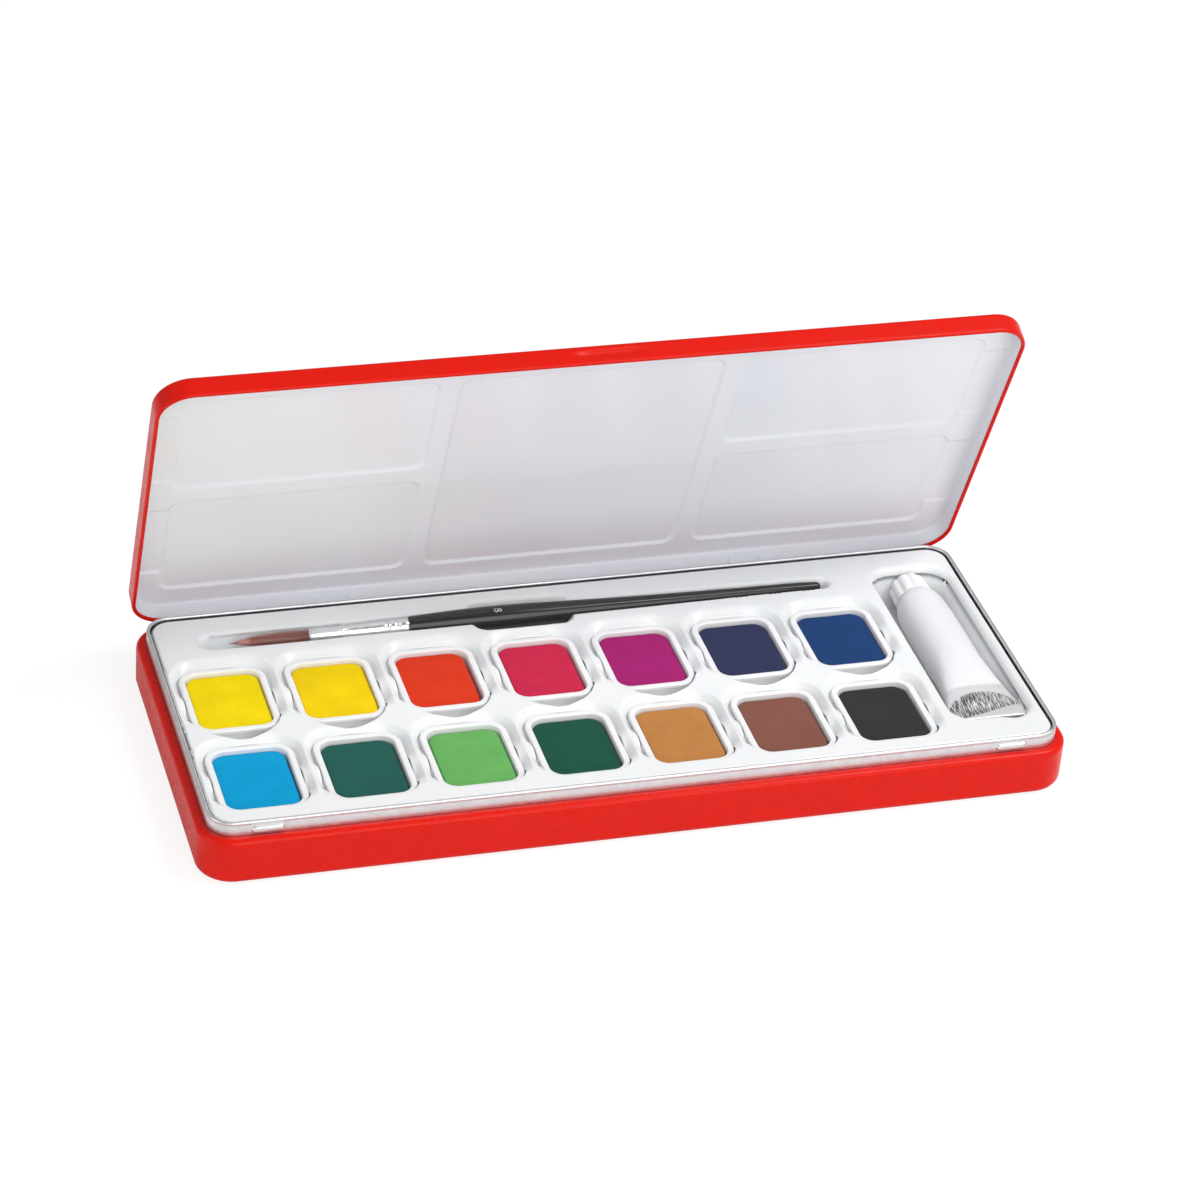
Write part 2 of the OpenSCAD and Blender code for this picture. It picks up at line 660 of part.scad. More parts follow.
module tube_body() color("#ececec") difference() {
    union() {
        tube_form(0);
        along_tube(nozzle_y - 0.5) cylinder(h = nozzle_l + 0.5, r = nozzle_r);
        translate([tail_x, tail_y - tail_l / 2, tail_z]) cube([tail_w, tail_l, tail_t], center = true);
    }
    tube_form(tube_wall);
    along_tube(nozzle_y - shoulder_l) cylinder(h = nozzle_l + shoulder_l + over, r = nozzle_bore);
}

module tube_paint() color("#fbfbf8") {
    tube_form(tube_wall + seat);
    along_tube(nozzle_y - shoulder_l) cylinder(h = nozzle_l + shoulder_l - 1, r = nozzle_bore - seat);
}

module tube_cap() color("#f6f6f6") along_tube(cap_y) difference() {
    cylinder(h = cap_l, r1 = cap_r, r2 = cap_back_r);
    for (k = [0 : flutes - 1])
        rotate([0, 0, 360 * k / flutes]) translate([cap_r + 0.5, 0, -over]) cylinder(h = cap_l + 2 * over, r = flute_r);
    translate([0, 0, -over]) cylinder(h = nozzle_l + over, r = nozzle_r + cap_play);
}

base_shell();
neck_frame();
base_hinge_leaves();
hinge_pins();
lid_hinge_leaves();
lid_shell();
tray();
for (i = [0 : PANS - 1]) {
    pan(i);
    paint(i);
}
brush_handle();
brush_ferrule();
brush_bristles();
brush_sleeve();
tube_body();
tube_cap();
tube_paint();
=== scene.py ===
import json
import math
import random

import bmesh
import bpy
import numpy as np
from bpy.props import FloatProperty, FloatVectorProperty, IntProperty, PointerProperty
from mathutils import Matrix, Vector, noise
from mathutils.geometry import delaunay_2d_cdt


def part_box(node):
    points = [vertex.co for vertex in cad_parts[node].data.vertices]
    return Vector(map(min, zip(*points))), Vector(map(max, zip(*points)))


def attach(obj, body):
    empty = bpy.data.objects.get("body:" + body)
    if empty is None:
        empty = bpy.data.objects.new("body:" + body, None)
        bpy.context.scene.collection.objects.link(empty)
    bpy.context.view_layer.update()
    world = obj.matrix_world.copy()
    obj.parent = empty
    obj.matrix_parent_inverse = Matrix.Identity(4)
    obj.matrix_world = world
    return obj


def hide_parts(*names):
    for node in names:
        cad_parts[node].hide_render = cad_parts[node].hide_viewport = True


bl_info = {
    "name": "Gouache Paint Set",
    "version": (1, 0, 0),
    "blender": (4, 5, 0),
    "location": "3D View > Sidebar > Paint Set",
    "description": "Dresses the packed solids of a hinged tin of gouache pans",
    "category": "Object",
}

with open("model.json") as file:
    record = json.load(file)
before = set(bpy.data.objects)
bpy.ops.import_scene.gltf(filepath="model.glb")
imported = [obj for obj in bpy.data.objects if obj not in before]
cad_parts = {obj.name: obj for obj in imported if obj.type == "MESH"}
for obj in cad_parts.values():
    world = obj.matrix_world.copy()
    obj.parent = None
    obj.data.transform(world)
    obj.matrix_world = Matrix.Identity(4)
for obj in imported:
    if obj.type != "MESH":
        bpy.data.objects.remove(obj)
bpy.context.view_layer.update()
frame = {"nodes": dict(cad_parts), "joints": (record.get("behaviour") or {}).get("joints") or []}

MM = 0.001
COLUMNS = 7
PANS = 14


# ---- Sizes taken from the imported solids, in millimetres ----

def node_box(name):
    """Lowest and highest corner of a CAD node, in millimetres."""
    low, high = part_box(name)
    return [v / MM for v in low], [v / MM for v in high]


def joint(name):
    """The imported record's entry for one joint."""
    return next(j for j in frame["joints"] if j["name"] == name)


BASE_LOW, BASE_HIGH = node_box("base_shell")
TRAY_LOW, TRAY_HIGH = node_box("tray")
PAN_BOXES = [node_box("pan_%02d" % (i + 1)) for i in range(PANS)]
PAINT_BOXES = [node_box("paint_%02d" % (i + 1)) for i in range(PANS)]
HINGE = [v / MM for v in joint("lid_hinge")["pos_m"]]
TIN_W = BASE_HIGH[0] - BASE_LOW[0]
TIN_D = BASE_HIGH[1] - BASE_LOW[1]
BASE_H = BASE_HIGH[2]
NECK_TOP = node_box("neck_frame")[1][2]
TRAY_TOP = TRAY_HIGH[2]
SHEET = 0.4
HINGE_X = 68.4
HINGE_SLOT = 7.4


# ---- Property groups ----

def length(name, default, text, low=0.0):
    """A size in millimetres."""
    return FloatProperty(name=name, default=default, min=low, description=text + ", in millimetres")


def colour(name, default, text):
    """A colour in linear light."""
    return FloatVectorProperty(name=name, default=default, size=3, min=0, max=1, subtype="COLOR",
                               description=text)


class TinSettings(bpy.types.PropertyGroup):
    """Sizes and colours of the lower tin, its neck and its lid"""
    corner: length("Corner", 11.0, "Radius of the tin's upright corners")
    foot: length("Foot", 2.6, "Radius of the lower tin's bottom edge")
    shoulder: length("Shoulder", 1.7, "Radius of the rolled shoulder")
    neck_inset: length("Neck inset", 3.1, "How far the neck stands in from the outer wall")
    bead: length("Bead", 0.55, "Radius of the bead along the neck's top")
    lug_x: length("Lug place", 115.0, "Distance of a snap lug from the middle")
    lug_length: length("Lug length", 9.6, "Length of a snap lug")
    lid_height: length("Lid height", 7.2, "Height of the lid")
    lid_edge: length("Lid edge", 1.3, "Radius of the lid's top edge")
    curl: length("Curl", 0.65, "Radius of the curl along the lid's rim")
    lid_open: FloatProperty(name="Lid open", default=68.25,
                            description="Degrees that the lid stands open from shut")
    well: length("Well depth", 0.9, "Depth of the mixing wells")
    notch: length("Notch depth", 0.5, "Depth of the notches at the wells' ends")
    enamel: colour("Enamel", (0.655, 0.008, 0.002), "Red enamel of the tin's outside")
    inside: colour("Inside", (0.80, 0.82, 0.86), "White enamel of the lid's inside")
    tinplate: colour("Tinplate", (0.74, 0.745, 0.755), "Bright metal of the neck")


class TraySettings(bpy.types.PropertyGroup):
    """Sizes and colour of the moulded tray"""
    edge: length("Edge", 0.9, "Radius of the tray's outer top edge")
    dip: length("Dip", 3.2, "Depth of the dips beside a pan")
    bank: length("Bank", 4.4, "Reach of the bank behind a pan")
    moon: length("Half-moon", 6.6, "Depth of the half-moon finger recesses")
    white: colour("White", (0.785, 0.785, 0.785), "Colour of the moulding")


class PanSettings(bpy.types.PropertyGroup):
    """Sizes and colour of the pans and their cakes"""
    corner: length("Corner", 6.2, "Corner radius of a pan's rim")
    rim: length("Rim", 2.0, "Width of a pan's rim")
    flange: length("Flange", 1.4, "Thickness of the rim's flange")
    overhang: length("Overhang", 0.3, "How far the flange overhangs the cup")
    grain: length("Grain", 0.35, "Size of the grain in the dried paint")
    white: colour("White", (0.80, 0.80, 0.80), "Colour of the pans")


class BrushSettings(bpy.types.PropertyGroup):
    """Sizes and colours of the brush"""
    strands: IntProperty(name="Strands", default=900, min=300, description="Number of bristles")
    hair: colour("Hair", (0.25, 0.085, 0.065), "Colour of the bristles")
    lacquer: colour("Lacquer", (0.012, 0.012, 0.013), "Colour of the handle")


class TubeSettings(bpy.types.PropertyGroup):
    """Sizes and colours of the paint tube"""
    flutes: IntProperty(name="Flutes", default=10, min=6, description="Number of flutes round the cap")
    lacquer: colour("Lacquer", (0.76, 0.765, 0.78), "White lacquer of the tube")


class StageSettings(bpy.types.PropertyGroup):
    """Floor, light and camera"""
    azimuth: FloatProperty(name="Azimuth", default=-18.46, description="Degrees round from the front")
    elevation: FloatProperty(name="Elevation", default=33.21, description="Degrees above the horizon")
    roll: FloatProperty(name="Roll", default=4.82, description="Degrees of camera roll")
    key: FloatProperty(name="Key", default=10.5, min=0, description="Power of the main lamp, in watts")


SETTINGS = {
    "tin": TinSettings, "tray": TraySettings, "pan": PanSettings,
    "brush": BrushSettings, "tube": TubeSettings, "stage": StageSettings,
}


def settings(name):
    """The current values of one property group."""
    return getattr(bpy.context.scene, "paint_set_" + name)


# ---- Meshes ----

def rounded(half_w, half_d, r, centre=(0.0, 0.0), step=2.0, corner_steps=10, sides=None):
    """Outline of a rectangle with round corners, anticlockwise; sides fixes the counts along it."""
    r = max(min(r, half_w - 0.01, half_d - 0.01), 0.02)
    run_w, run_d = 2 * (half_w - r), 2 * (half_d - r)
    along_w, along_d = sides or (max(1, round(run_w / step)), max(1, round(run_d / step)))
    quarters = (  # the corner's sides, then the way, length and count of the straight after it
        (1, 1, (-1, 0), run_w, along_w), (-1, 1, (0, -1), run_d, along_d),
        (-1, -1, (1, 0), run_w, along_w), (1, -1, (0, 1), run_d, along_d),
    )
    points = []
    for quarter, (sx, sy, (dx, dy), run, count) in enumerate(quarters):
        cx, cy = sx * (half_w - r), sy * (half_d - r)
        for k in range(corner_steps + 1):
            a = math.radians(90 * (quarter + k / corner_steps))
            points.append((cx + r * math.cos(a), cy + r * math.sin(a)))
        x, y = points[-1]
        points += [(x + dx * run * k / count, y + dy * run * k / count) for k in range(1, count)]
    return [(x + centre[0], y + centre[1]) for x, y in points]


def outline(box, grow=0.0, **counts):
    """Outline of a (middle x, middle y, half width, half depth, corner radius) box, grown by grow."""
    cx, cy, half_w, half_d, r = box
    return rounded(half_w + grow, half_d + grow, r + grow, (cx, cy), **counts)


class Shape:
    """Vertices and faces of one piece while it is made, in millimetres."""

    def __init__(self):
        self.points, self.faces, self.finishes = [], [], []

    def ring(self, points):
        """Adds points and gives their numbers."""
        start = len(self.points)
        self.points += [tuple(p) for p in points]
        return list(range(start, len(self.points)))

    def face(self, corners, finish=0):
        """Adds a face; finish is its place in the piece's list of materials."""
        self.faces.append(tuple(corners))
        self.finishes.append(finish)

    def join(self, a, b, finish=0, closed=True):
        """Faces between two rings of as many points."""
        n = len(a)
        for k in range(n if closed else n - 1):
            m = (k + 1) % n
            self.face((a[k], a[m], b[m], b[k]), finish)

    def loft(self, rings, finish=0, closed=True, caps=(False, False)):
        """Joins a row of rings, with a cap at either end where it is asked for."""
        made = [self.ring(r) for r in rings]
        for a, b in zip(made, made[1:]):
            self.join(a, b, finish, closed)
        if caps[0]:
            self.face(reversed(made[0]), finish)
        if caps[1]:
            self.face(made[-1], finish)
        return made

    def patch(self, loops, points, height, inside, finish=0, flip=False):
        """A surface z = height(x, y) through points and closed loops, kept where inside(x, y) is true."""
        flat, edges = [], []
        for loop in loops:
            start = len(flat)
            flat += [Vector(p[:2]) for p in loop]
            edges += [(start + k, start + (k + 1) % len(loop)) for k in range(len(loop))]
        flat += [Vector(p) for p in points]
        made, _, faces, _, _, _ = delaunay_2d_cdt(flat, edges, [], 0, 1e-4)
        xy = np.array([tuple(v) for v in made])
        z = height(xy[:, 0], xy[:, 1])
        tri = np.array(faces)
        middle = xy[tri].mean(axis=1)
        tri = tri[inside(middle[:, 0], middle[:, 1])]
        start = len(self.points)
        self.points += list(zip(xy[:, 0].tolist(), xy[:, 1].tolist(), np.asarray(z, float).tolist()))
        for t in tri.tolist():
            t = reversed(t) if flip else t
            self.face([start + k for k in t], finish)

    def piece(self, name, finishes, body, nodes=(), move=None, weld=0.02, sharp=None,
              thick=None, cuts=()):
        """Makes the mesh object, sets it on its body, and hides the CAD nodes that it stands for.

        move is a matrix for the mesh, weld and thick are in millimetres, sharp is in degrees, and
        cuts holds boxes that are taken away.
        """
        mesh = bpy.data.meshes.new(name)
        scaled = [(x * MM, y * MM, z * MM) for x, y, z in self.points]
        mesh.from_pydata(scaled, [], self.faces)
        mesh.polygons.foreach_set("material_index", self.finishes)
        for finish in finishes:
            mesh.materials.append(finish)
        obj = bpy.data.objects.new(name, mesh)
        bpy.context.collection.objects.link(obj)
        tidy(mesh, weld)
        for low, high in cuts:
            cut_out(mesh, low, high)
        if move is not None:
            mesh.transform(move)
        mesh.shade_smooth()
        if sharp is not None:
            mesh.set_sharp_from_angle(angle=math.radians(sharp))
        if thick is not None:
            wall = obj.modifiers.new("Wall", "SOLIDIFY")
            wall.thickness, wall.offset = thick * MM, -1
        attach(obj, body)
        if nodes:
            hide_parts(*nodes)
        return obj


def tidy(mesh, weld):
    """Welds points that meet and drops what no face uses."""
    work = bmesh.new()
    work.from_mesh(mesh)
    bmesh.ops.remove_doubles(work, verts=work.verts, dist=weld * MM)
    bmesh.ops.delete(work, geom=[v for v in work.verts if not v.link_faces], context="VERTS")
    bmesh.ops.dissolve_degenerate(work, edges=work.edges, dist=1e-7)
    work.to_mesh(mesh)
    work.free()


def cut_out(mesh, low, high):
    """Takes away what lies inside a box, in millimetres."""
    work = bmesh.new()
    work.from_mesh(mesh)
    low, high = Vector(low) * MM, Vector(high) * MM
    for axis in range(3):
        normal = Vector([float(k == axis) for k in range(3)])
        for at in (low, high):
            bmesh.ops.bisect_plane(work, geom=work.verts[:] + work.edges[:] + work.faces[:], dist=1e-7,
                                   plane_co=normal * at[axis], plane_no=normal)
    middles = [(f, f.calc_center_median()) for f in work.faces]
    inside = [f for f, c in middles if all(low[a] < c[a] < high[a] for a in range(3))]
    bmesh.ops.delete(work, geom=inside, context="FACES")
    work.to_mesh(mesh)
    work.free()


def arc(centre, r, start, end, steps):
    """Points on an arc, by its angles in degrees."""
    out = []
    for k in range(steps + 1):
        a = math.radians(start + (end - start) * k / steps)
        out.append((centre[0] + r * math.cos(a), centre[1] + r * math.sin(a)))
    return out


EDGE_STEPS = (104, 72)  # points along the front and along the side of the tin's walls


def around(shape, section, w, d, r, finish=0, caps=(False, False)):
    """Carries a section, as (distance in from the outer face, height) points, round a rounded rectangle."""
    rings = []
    box = (0.0, 0.0, w / 2, d / 2, r)
    for inset, z in section:
        rings.append([(x, y, z) for x, y in outline(box, -inset, corner_steps=16, sides=EDGE_STEPS)])
    return shape.loft(rings, finish, caps=caps)


def turned(shape, profile, origin, steps=40, finish=0, caps=(True, True)):
    """Turns (distance along X, radius) points round an axis along X."""
    ox, oy, oz = origin
    rings = []
    for x, r in profile:
        rings.append([(ox + x, oy + r * math.cos(a), oz + r * math.sin(a))
                      for a in (2 * math.pi * k / steps for k in range(steps))])
    return shape.loft(rings, finish, caps=caps)


def smooth(t):
    """Eases from 0 to 1."""
    t = np.clip(t, 0.0, 1.0)
    return t * t * (3 - 2 * t)


def gap_at(point, box):
    """Distance of one point from a box's outline."""
    return float(distance(np.array(point[0]), np.array(point[1]), *box))


def distance(x, y, cx, cy, half_w, half_d, r):
    """Distance from a rounded rectangle's outline, negative inside it."""
    qx = np.abs(x - cx) - (half_w - r)
    qy = np.abs(y - cy) - (half_d - r)
    return np.hypot(np.maximum(qx, 0), np.maximum(qy, 0)) + np.minimum(np.maximum(qx, qy), 0) - r


# ---- Finishes ----

class Finish:
    """The node tree of one material, built up from small steps."""

    def __init__(self, name):
        self.material = bpy.data.materials.new(name)
        self.material.use_nodes = True
        self.tree = self.material.node_tree
        self.tree.nodes.clear()
        self.place = self.node("ShaderNodeTexCoord").outputs["Object"]

    def node(self, kind, inputs=None, **attributes):
        """Adds a shader node; inputs gives values or sockets by input name."""
        made = self.tree.nodes.new(kind)
        for key, value in attributes.items():
            setattr(made, key, value)
        for key, value in (inputs or {}).items():
            self.set(made.inputs[key], value)
        return made

    def set(self, socket, value):
        """Gives an input a value, or links it to another node's output."""
        if isinstance(value, bpy.types.NodeSocket):
            self.tree.links.new(value, socket)
        else:
            socket.default_value = value

    def noise(self, scale, detail=2.0, roughness=0.5, stretch=(1, 1, 1), place=None, distortion=0.0):
        """Noise whose scale is in cycles a metre, stretched along each axis."""
        spread = self.node("ShaderNodeMapping", {"Vector": place or self.place, "Scale": stretch})
        made = self.node("ShaderNodeTexNoise", {"Vector": spread.outputs[0], "Scale": scale, "Detail": detail,
                                                "Roughness": roughness, "Distortion": distortion})
        return made.outputs["Fac"]

    def ramp(self, value, low, high, out_low, out_high):
        """Carries a value from one range to another."""
        made = self.node("ShaderNodeMapRange", {"Value": value, "From Min": low, "From Max": high,
                                                "To Min": out_low, "To Max": out_high})
        return made.outputs[0]

    def mix(self, amount, a, b):
        """Blends two colours."""
        made = self.node("ShaderNodeMix", data_type="RGBA")
        self.set(made.inputs[0], amount)
        self.set(made.inputs[6], (*a, 1) if isinstance(a, tuple) else a)
        self.set(made.inputs[7], (*b, 1) if isinstance(b, tuple) else b)
        return made.outputs[2]

    def maths(self, operation, a, b=0.0):
        made = self.node("ShaderNodeMath", operation=operation)
        self.set(made.inputs[0], a)
        self.set(made.inputs[1], b)
        return made.outputs[0]

    def bump(self, height, strength, depth, under=None):
        """Surface relief; depth is in metres."""
        inputs = {"Height": height, "Strength": strength, "Distance": depth}
        if under is not None:
            inputs["Normal"] = under
        return self.node("ShaderNodeBump", inputs).outputs[0]

    def done(self, **inputs):
        """Ends the tree in a Principled shader; keys are its socket names with _ for a space."""
        shader = self.node("ShaderNodeBsdfPrincipled")
        for key, value in inputs.items():
            self.set(shader.inputs[key.replace("_", " ")], value)
        self.node("ShaderNodeOutputMaterial", {"Surface": shader.outputs[0]})
        return self.material


def enamel(name, shade, rough=0.26):
    """Stoved enamel on tin: even colour, faint orange peel, faint handling marks."""
    f = Finish(name)
    peel = f.noise(900, 2.0, 0.5)
    wave = f.noise(45, 2.0, 0.5)
    handled = f.noise(160, 4.0, 0.65)
    deep = tuple(c * 0.93 for c in shade)
    relief = f.bump(wave, 0.05, 0.0004, f.bump(peel, 0.03, 0.00005))
    return f.done(Base_Color=f.mix(f.ramp(handled, 0.35, 0.65, 0.0, 1.0), shade, deep),
                  Roughness=f.ramp(handled, 0.3, 0.7, rough - 0.04, rough + 0.08), Normal=relief,
                  Specular_IOR_Level=0.16, IOR=1.5)


def palette_white(name, shade):
    """Smooth white enamel of the mixing palette, with a faint cool cast where it has been wiped."""
    f = Finish(name)
    wiped = f.noise(9, 3.0, 0.5)
    peel = f.noise(500, 2.0, 0.5)
    cool = (shade[0] * 0.975, shade[1] * 0.985, shade[2])
    return f.done(Base_Color=f.mix(f.ramp(wiped, 0.35, 0.65, 0.0, 1.0), shade, cool),
                  Roughness=f.ramp(wiped, 0.35, 0.65, 0.20, 0.26),
                  Normal=f.bump(peel, 0.03, 0.00003), IOR=1.5)


def tinplate(name, shade, stretch=(0.06, 1, 1), rough=0.24):
    """Rolled tinplate: fine lines along the band and soft spangle."""
    f = Finish(name)
    lines = f.noise(5200, 3.0, 0.6, stretch=stretch)
    spangle = f.noise(420, 3.0, 0.6)
    dull = tuple(c * 0.86 for c in shade)
    return f.done(Base_Color=f.mix(f.ramp(spangle, 0.3, 0.7, 0.0, 1.0), shade, dull), Metallic=1.0,
                  Roughness=f.ramp(lines, 0.3, 0.7, rough - 0.06, rough + 0.12),
                  Normal=f.bump(lines, 0.18, 0.00004, f.bump(spangle, 0.1, 0.0001)))


def moulded(name, shade, rough=0.34):
    """Smooth white plastic with the faint bloom of a vacuum moulding."""
    f = Finish(name)
    bloom = f.noise(60, 3.0, 0.5)
    pores = f.noise(2600, 2.0, 0.6)
    cool = (shade[0] * 0.975, shade[1] * 0.98, shade[2] * 0.99)
    return f.done(Base_Color=f.mix(f.ramp(bloom, 0.3, 0.7, 0.0, 1.0), shade, cool),
                  Roughness=f.ramp(bloom, 0.3, 0.7, rough - 0.05, rough + 0.07),
                  Normal=f.bump(pores, 0.06, 0.00003), Subsurface_Weight=0.06, Subsurface_Scale=0.002)


def gouache(name, shade, grain):
    """Dried gouache: matt, finely grained, slightly uneven in tone."""
    f = Finish(name)
    grit = f.noise(1000 / grain, 3.0, 0.7)
    cloud = f.noise(120, 3.0, 0.55)
    pits = f.noise(620, 2.0, 0.5)
    light = tuple(min(1, c * 1.10 + 0.004) for c in shade)
    deep = tuple(c * 0.88 for c in shade)
    tone = f.mix(f.ramp(cloud, 0.3, 0.7, 0.0, 1.0), deep, light)
    fleck = f.mix(f.ramp(grit, 0.25, 0.75, 0.0, 1.0), tuple(c * 0.82 for c in shade), tone)
    relief = f.bump(pits, 0.20, 0.00025, f.bump(grit, 0.5, 0.00008))
    return f.done(Base_Color=fleck, Roughness=f.ramp(cloud, 0.3, 0.7, 0.62, 0.78), Normal=relief,
                  Specular_IOR_Level=0.08)


def lacquer(name, shade):
    """Black lacquer over turned wood."""
    f = Finish(name)
    grain = f.noise(300, 3.0, 0.6, stretch=(0.08, 1, 1))
    lighter = tuple(c * 1.7 + 0.004 for c in shade)
    return f.done(Base_Color=f.mix(f.ramp(grain, 0.35, 0.7, 0.0, 1.0), shade, lighter),
                  Roughness=f.ramp(grain, 0.3, 0.7, 0.16, 0.26), Normal=f.bump(grain, 0.08, 0.0001),
                  Specular_IOR_Level=0.3, Coat_Weight=0.25, Coat_Roughness=0.06)


def hair(name, shade):
    """Brown synthetic hair, darker at the root and paler at the tip."""
    f = Finish(name)
    along = f.node("ShaderNodeSeparateXYZ", {"Vector": f.place}).outputs[0]
    low, high = node_box("brush_bristles")
    tipward = f.ramp(along, low[0] * MM, high[0] * MM, 1.0, 0.0)
    strand = f.noise(9000, 1.0, 0.5, stretch=(0.01, 1, 1))
    pale = tuple(min(1, c * 2.6 + 0.05) for c in shade)
    tone = f.mix(f.maths("MULTIPLY", tipward, f.ramp(strand, 0.3, 0.7, 0.35, 1.0)), shade, pale)
    return f.done(Base_Color=tone, Roughness=f.ramp(strand, 0.3, 0.7, 0.4, 0.6))


def clear(name):
    """Thin clear plastic with a faint haze."""
    f = Finish(name)
    haze = f.noise(700, 2.0, 0.5)
    return f.done(Base_Color=(0.97, 0.98, 0.99, 1), Roughness=f.ramp(haze, 0.3, 0.7, 0.03, 0.09),
                  Transmission_Weight=1.0, IOR=1.3, Alpha=0.35)


# ---- Tin ----

UNDERSIDE_INSET = 24.0


def base_section(s):
    """The lower tin's wall as (inset, height) points, from under its floor round to the top of it."""
    foot, roll, h = s.foot, s.shoulder, BASE_H
    lip = s.neck_inset
    out = [(UNDERSIDE_INSET, 0.0), (foot + 4.2, 0.0), (foot + 3.6, 0.35), (foot + 3.0, 0.35)]
    out += [(foot + 2.2, 0.0), (foot, 0.0)]
    out += arc((foot, foot), foot, -90, -180, 9)[1:]
    out += [(0.0, h * 0.5), (0.0, h - roll)]
    out += arc((roll, h - roll), roll, 180, 90, 9)[1:]
    out += [(lip - 0.25, h), (lip - 0.02, h - 0.22), (lip - 0.02, h - 1.2), (lip - SHEET, h - 1.2)]
    out += [(lip - SHEET, h - SHEET - 0.15), (roll, h - SHEET)]
    out += arc((roll, h - roll), roll - SHEET, 90, 180, 5)[1:]
    out += [(SHEET, foot)]
    out += arc((foot, foot), foot - SHEET, 180, 270, 6)[1:]
    out += [(foot + 3.0, SHEET), (UNDERSIDE_INSET, SHEET)]
    return out


def hinge_boxes(y0, y1, z0, z1):
    """A box at each hinge, as wide as its slot in the tin's back wall."""
    return [((x - HINGE_SLOT, y0, z0), (x + HINGE_SLOT, y1, z1)) for x in (-HINGE_X, HINGE_X)]


class PAINTSET_OT_lower_tin(bpy.types.Operator):
    """Lower tin with its rolled shoulder and stepped underside"""
    bl_idname = "paint_set.lower_tin"
    bl_label = "Lower tin"

    def execute(self, context):
        s = settings("tin")
        shape = Shape()
        around(shape, base_section(s), TIN_W, TIN_D, s.corner, caps=(True, True))
        slots = hinge_boxes(TIN_D / 2 - 1.05, TIN_D / 2 + 1.0, HINGE[2] - 1.3, BASE_H + 0.5)
        red = enamel("red_enamel", tuple(s.enamel))
        shape.piece("lower_tin", [red], "tin", ["base_shell"], sharp=50, cuts=slots)
        return {"FINISHED"}


LUG_R = 1.0


class PAINTSET_OT_neck(bpy.types.Operator):
    """Bright neck band with its bead and the two snap lugs"""
    bl_idname = "paint_set.neck"
    bl_label = "Neck"

    def execute(self, context):
        s = settings("tin")
        metal = tinplate("neck_tinplate", tuple(s.tinplate), rough=0.36)
        w, d, r = TIN_W - 2 * s.neck_inset, TIN_D - 2 * s.neck_inset, s.corner - s.neck_inset
        b = s.bead
        under = NECK_TOP - 2 * b
        section = [(0.0, SHEET), (0.0, BASE_H - 0.6), (0.0, BASE_H + 1.2)]
        section += [(0.06, under - 0.5), (0.16, under - 0.12)]
        section += arc((b, NECK_TOP - b), b, 210, -60, 16)
        section += [(SHEET + 0.16, under - 0.3), (SHEET, under - 0.8), (SHEET, SHEET), (0.0, SHEET)]
        shape = Shape()
        around(shape, section, w, d, r)
        for side in (-1, 1):
            self.lug(shape, side * s.lug_x, -TIN_D / 2 + s.neck_inset, BASE_H + 1.8, s.lug_length)
        shape.piece("neck_band", [metal], "tin", ["neck_frame"], sharp=55)
        return {"FINISHED"}

    def lug(self, shape, x, y, z, span):
        """A pressed pill that stands out of the front wall."""
        rings = []
        steps = ((-0.15, 0.15), (0.0, 0.12), (0.12, 0.0), (0.45, -0.06), (0.62, -0.22), (0.70, -0.5))
        for out, grow in steps:
            ring = outline((x, z, span / 2, LUG_R, LUG_R), grow, corner_steps=8, sides=(8, 1))
            rings.append([(px, y - out, pz) for px, pz in ring])
        shape.loft(rings, caps=(False, True))


def lid_place(s):
    """Turns the shut lid, in millimetres, to where it stands."""
    h = Vector(HINGE) * MM
    return Matrix.Translation(h) @ Matrix.Rotation(math.radians(-s.lid_open), 4, "X") @ Matrix.Translation(-h)


WELLS = [  # middle x, low y, high y and width of each well of the shut lid, from the hinge side
    (0.0, -102.4, -8.3, 82.6),
    (-86.5, -102.4, -60.3, 77.8), (-86.5, -53.3, -8.3, 77.8),
    (86.5, -102.4, -60.3, 77.8), (86.5, -53.3, -8.3, 77.8),
]
WELL_CORNER = 4.0
NOTCHES = [(-96.2, -64.7), (-50.0, -17.9)]  # low y and high y from the hinge side, at both ends
NOTCH_X, NOTCH_HALF, NOTCH_CORNER = 134.0, 16.0, 2.5
FINGER_X, FINGER_HALF, FINGER_RISE, FINGER_DEEP = 1.8, 8.0, 3.4, 0.5


def well_box(cx, low, high, w):
    """Middle, half sizes and corner radius of a well."""
    return cx, TIN_D / 2 + (low + high) / 2, w / 2, (high - low) / 2, WELL_CORNER


def notch_box(low, high, side=1):
    """Middle, half sizes and corner radius of a notch."""
    return side * NOTCH_X, TIN_D / 2 + (low + high) / 2, NOTCH_HALF, (high - low) / 2, NOTCH_CORNER


def well_depth(x, y, s):
    """How deep the wells are pressed at a point of the shut lid."""
    depth = np.zeros_like(x)
    for well in WELLS:
        gap = distance(x, y, *well_box(*well))
        depth = np.maximum(depth, s.well * smooth((0.55 - gap) / 1.3))
    return depth


def notch_depth(x, y, s):
    """How deep the notches are pressed there; they run out over the lid's edge."""
    depth = np.zeros_like(x)
    for notch in NOTCHES:
        gap = distance(np.abs(x), y, *notch_box(*notch))
        depth = np.maximum(depth, s.notch * smooth((0.5 - gap) / 1.2))
    return depth


def well_points():
    """Points that follow the edges of the wells and notches, on both sides of each."""
    points = []
    for off in (-1.5, -0.95, -0.6, -0.25, 0.1, 0.45, 0.75, 1.2):
        for cx, low, high, w in WELLS:
            counts = (28, round((high - low) / 2.5))
            points += outline(well_box(cx, low, high, w), off, corner_steps=8, sides=counts)
        for low, high in NOTCHES:
            for side in (-1, 1):
                points += outline(notch_box(low, high, side), off, corner_steps=5, sides=(14, 16))
    return points


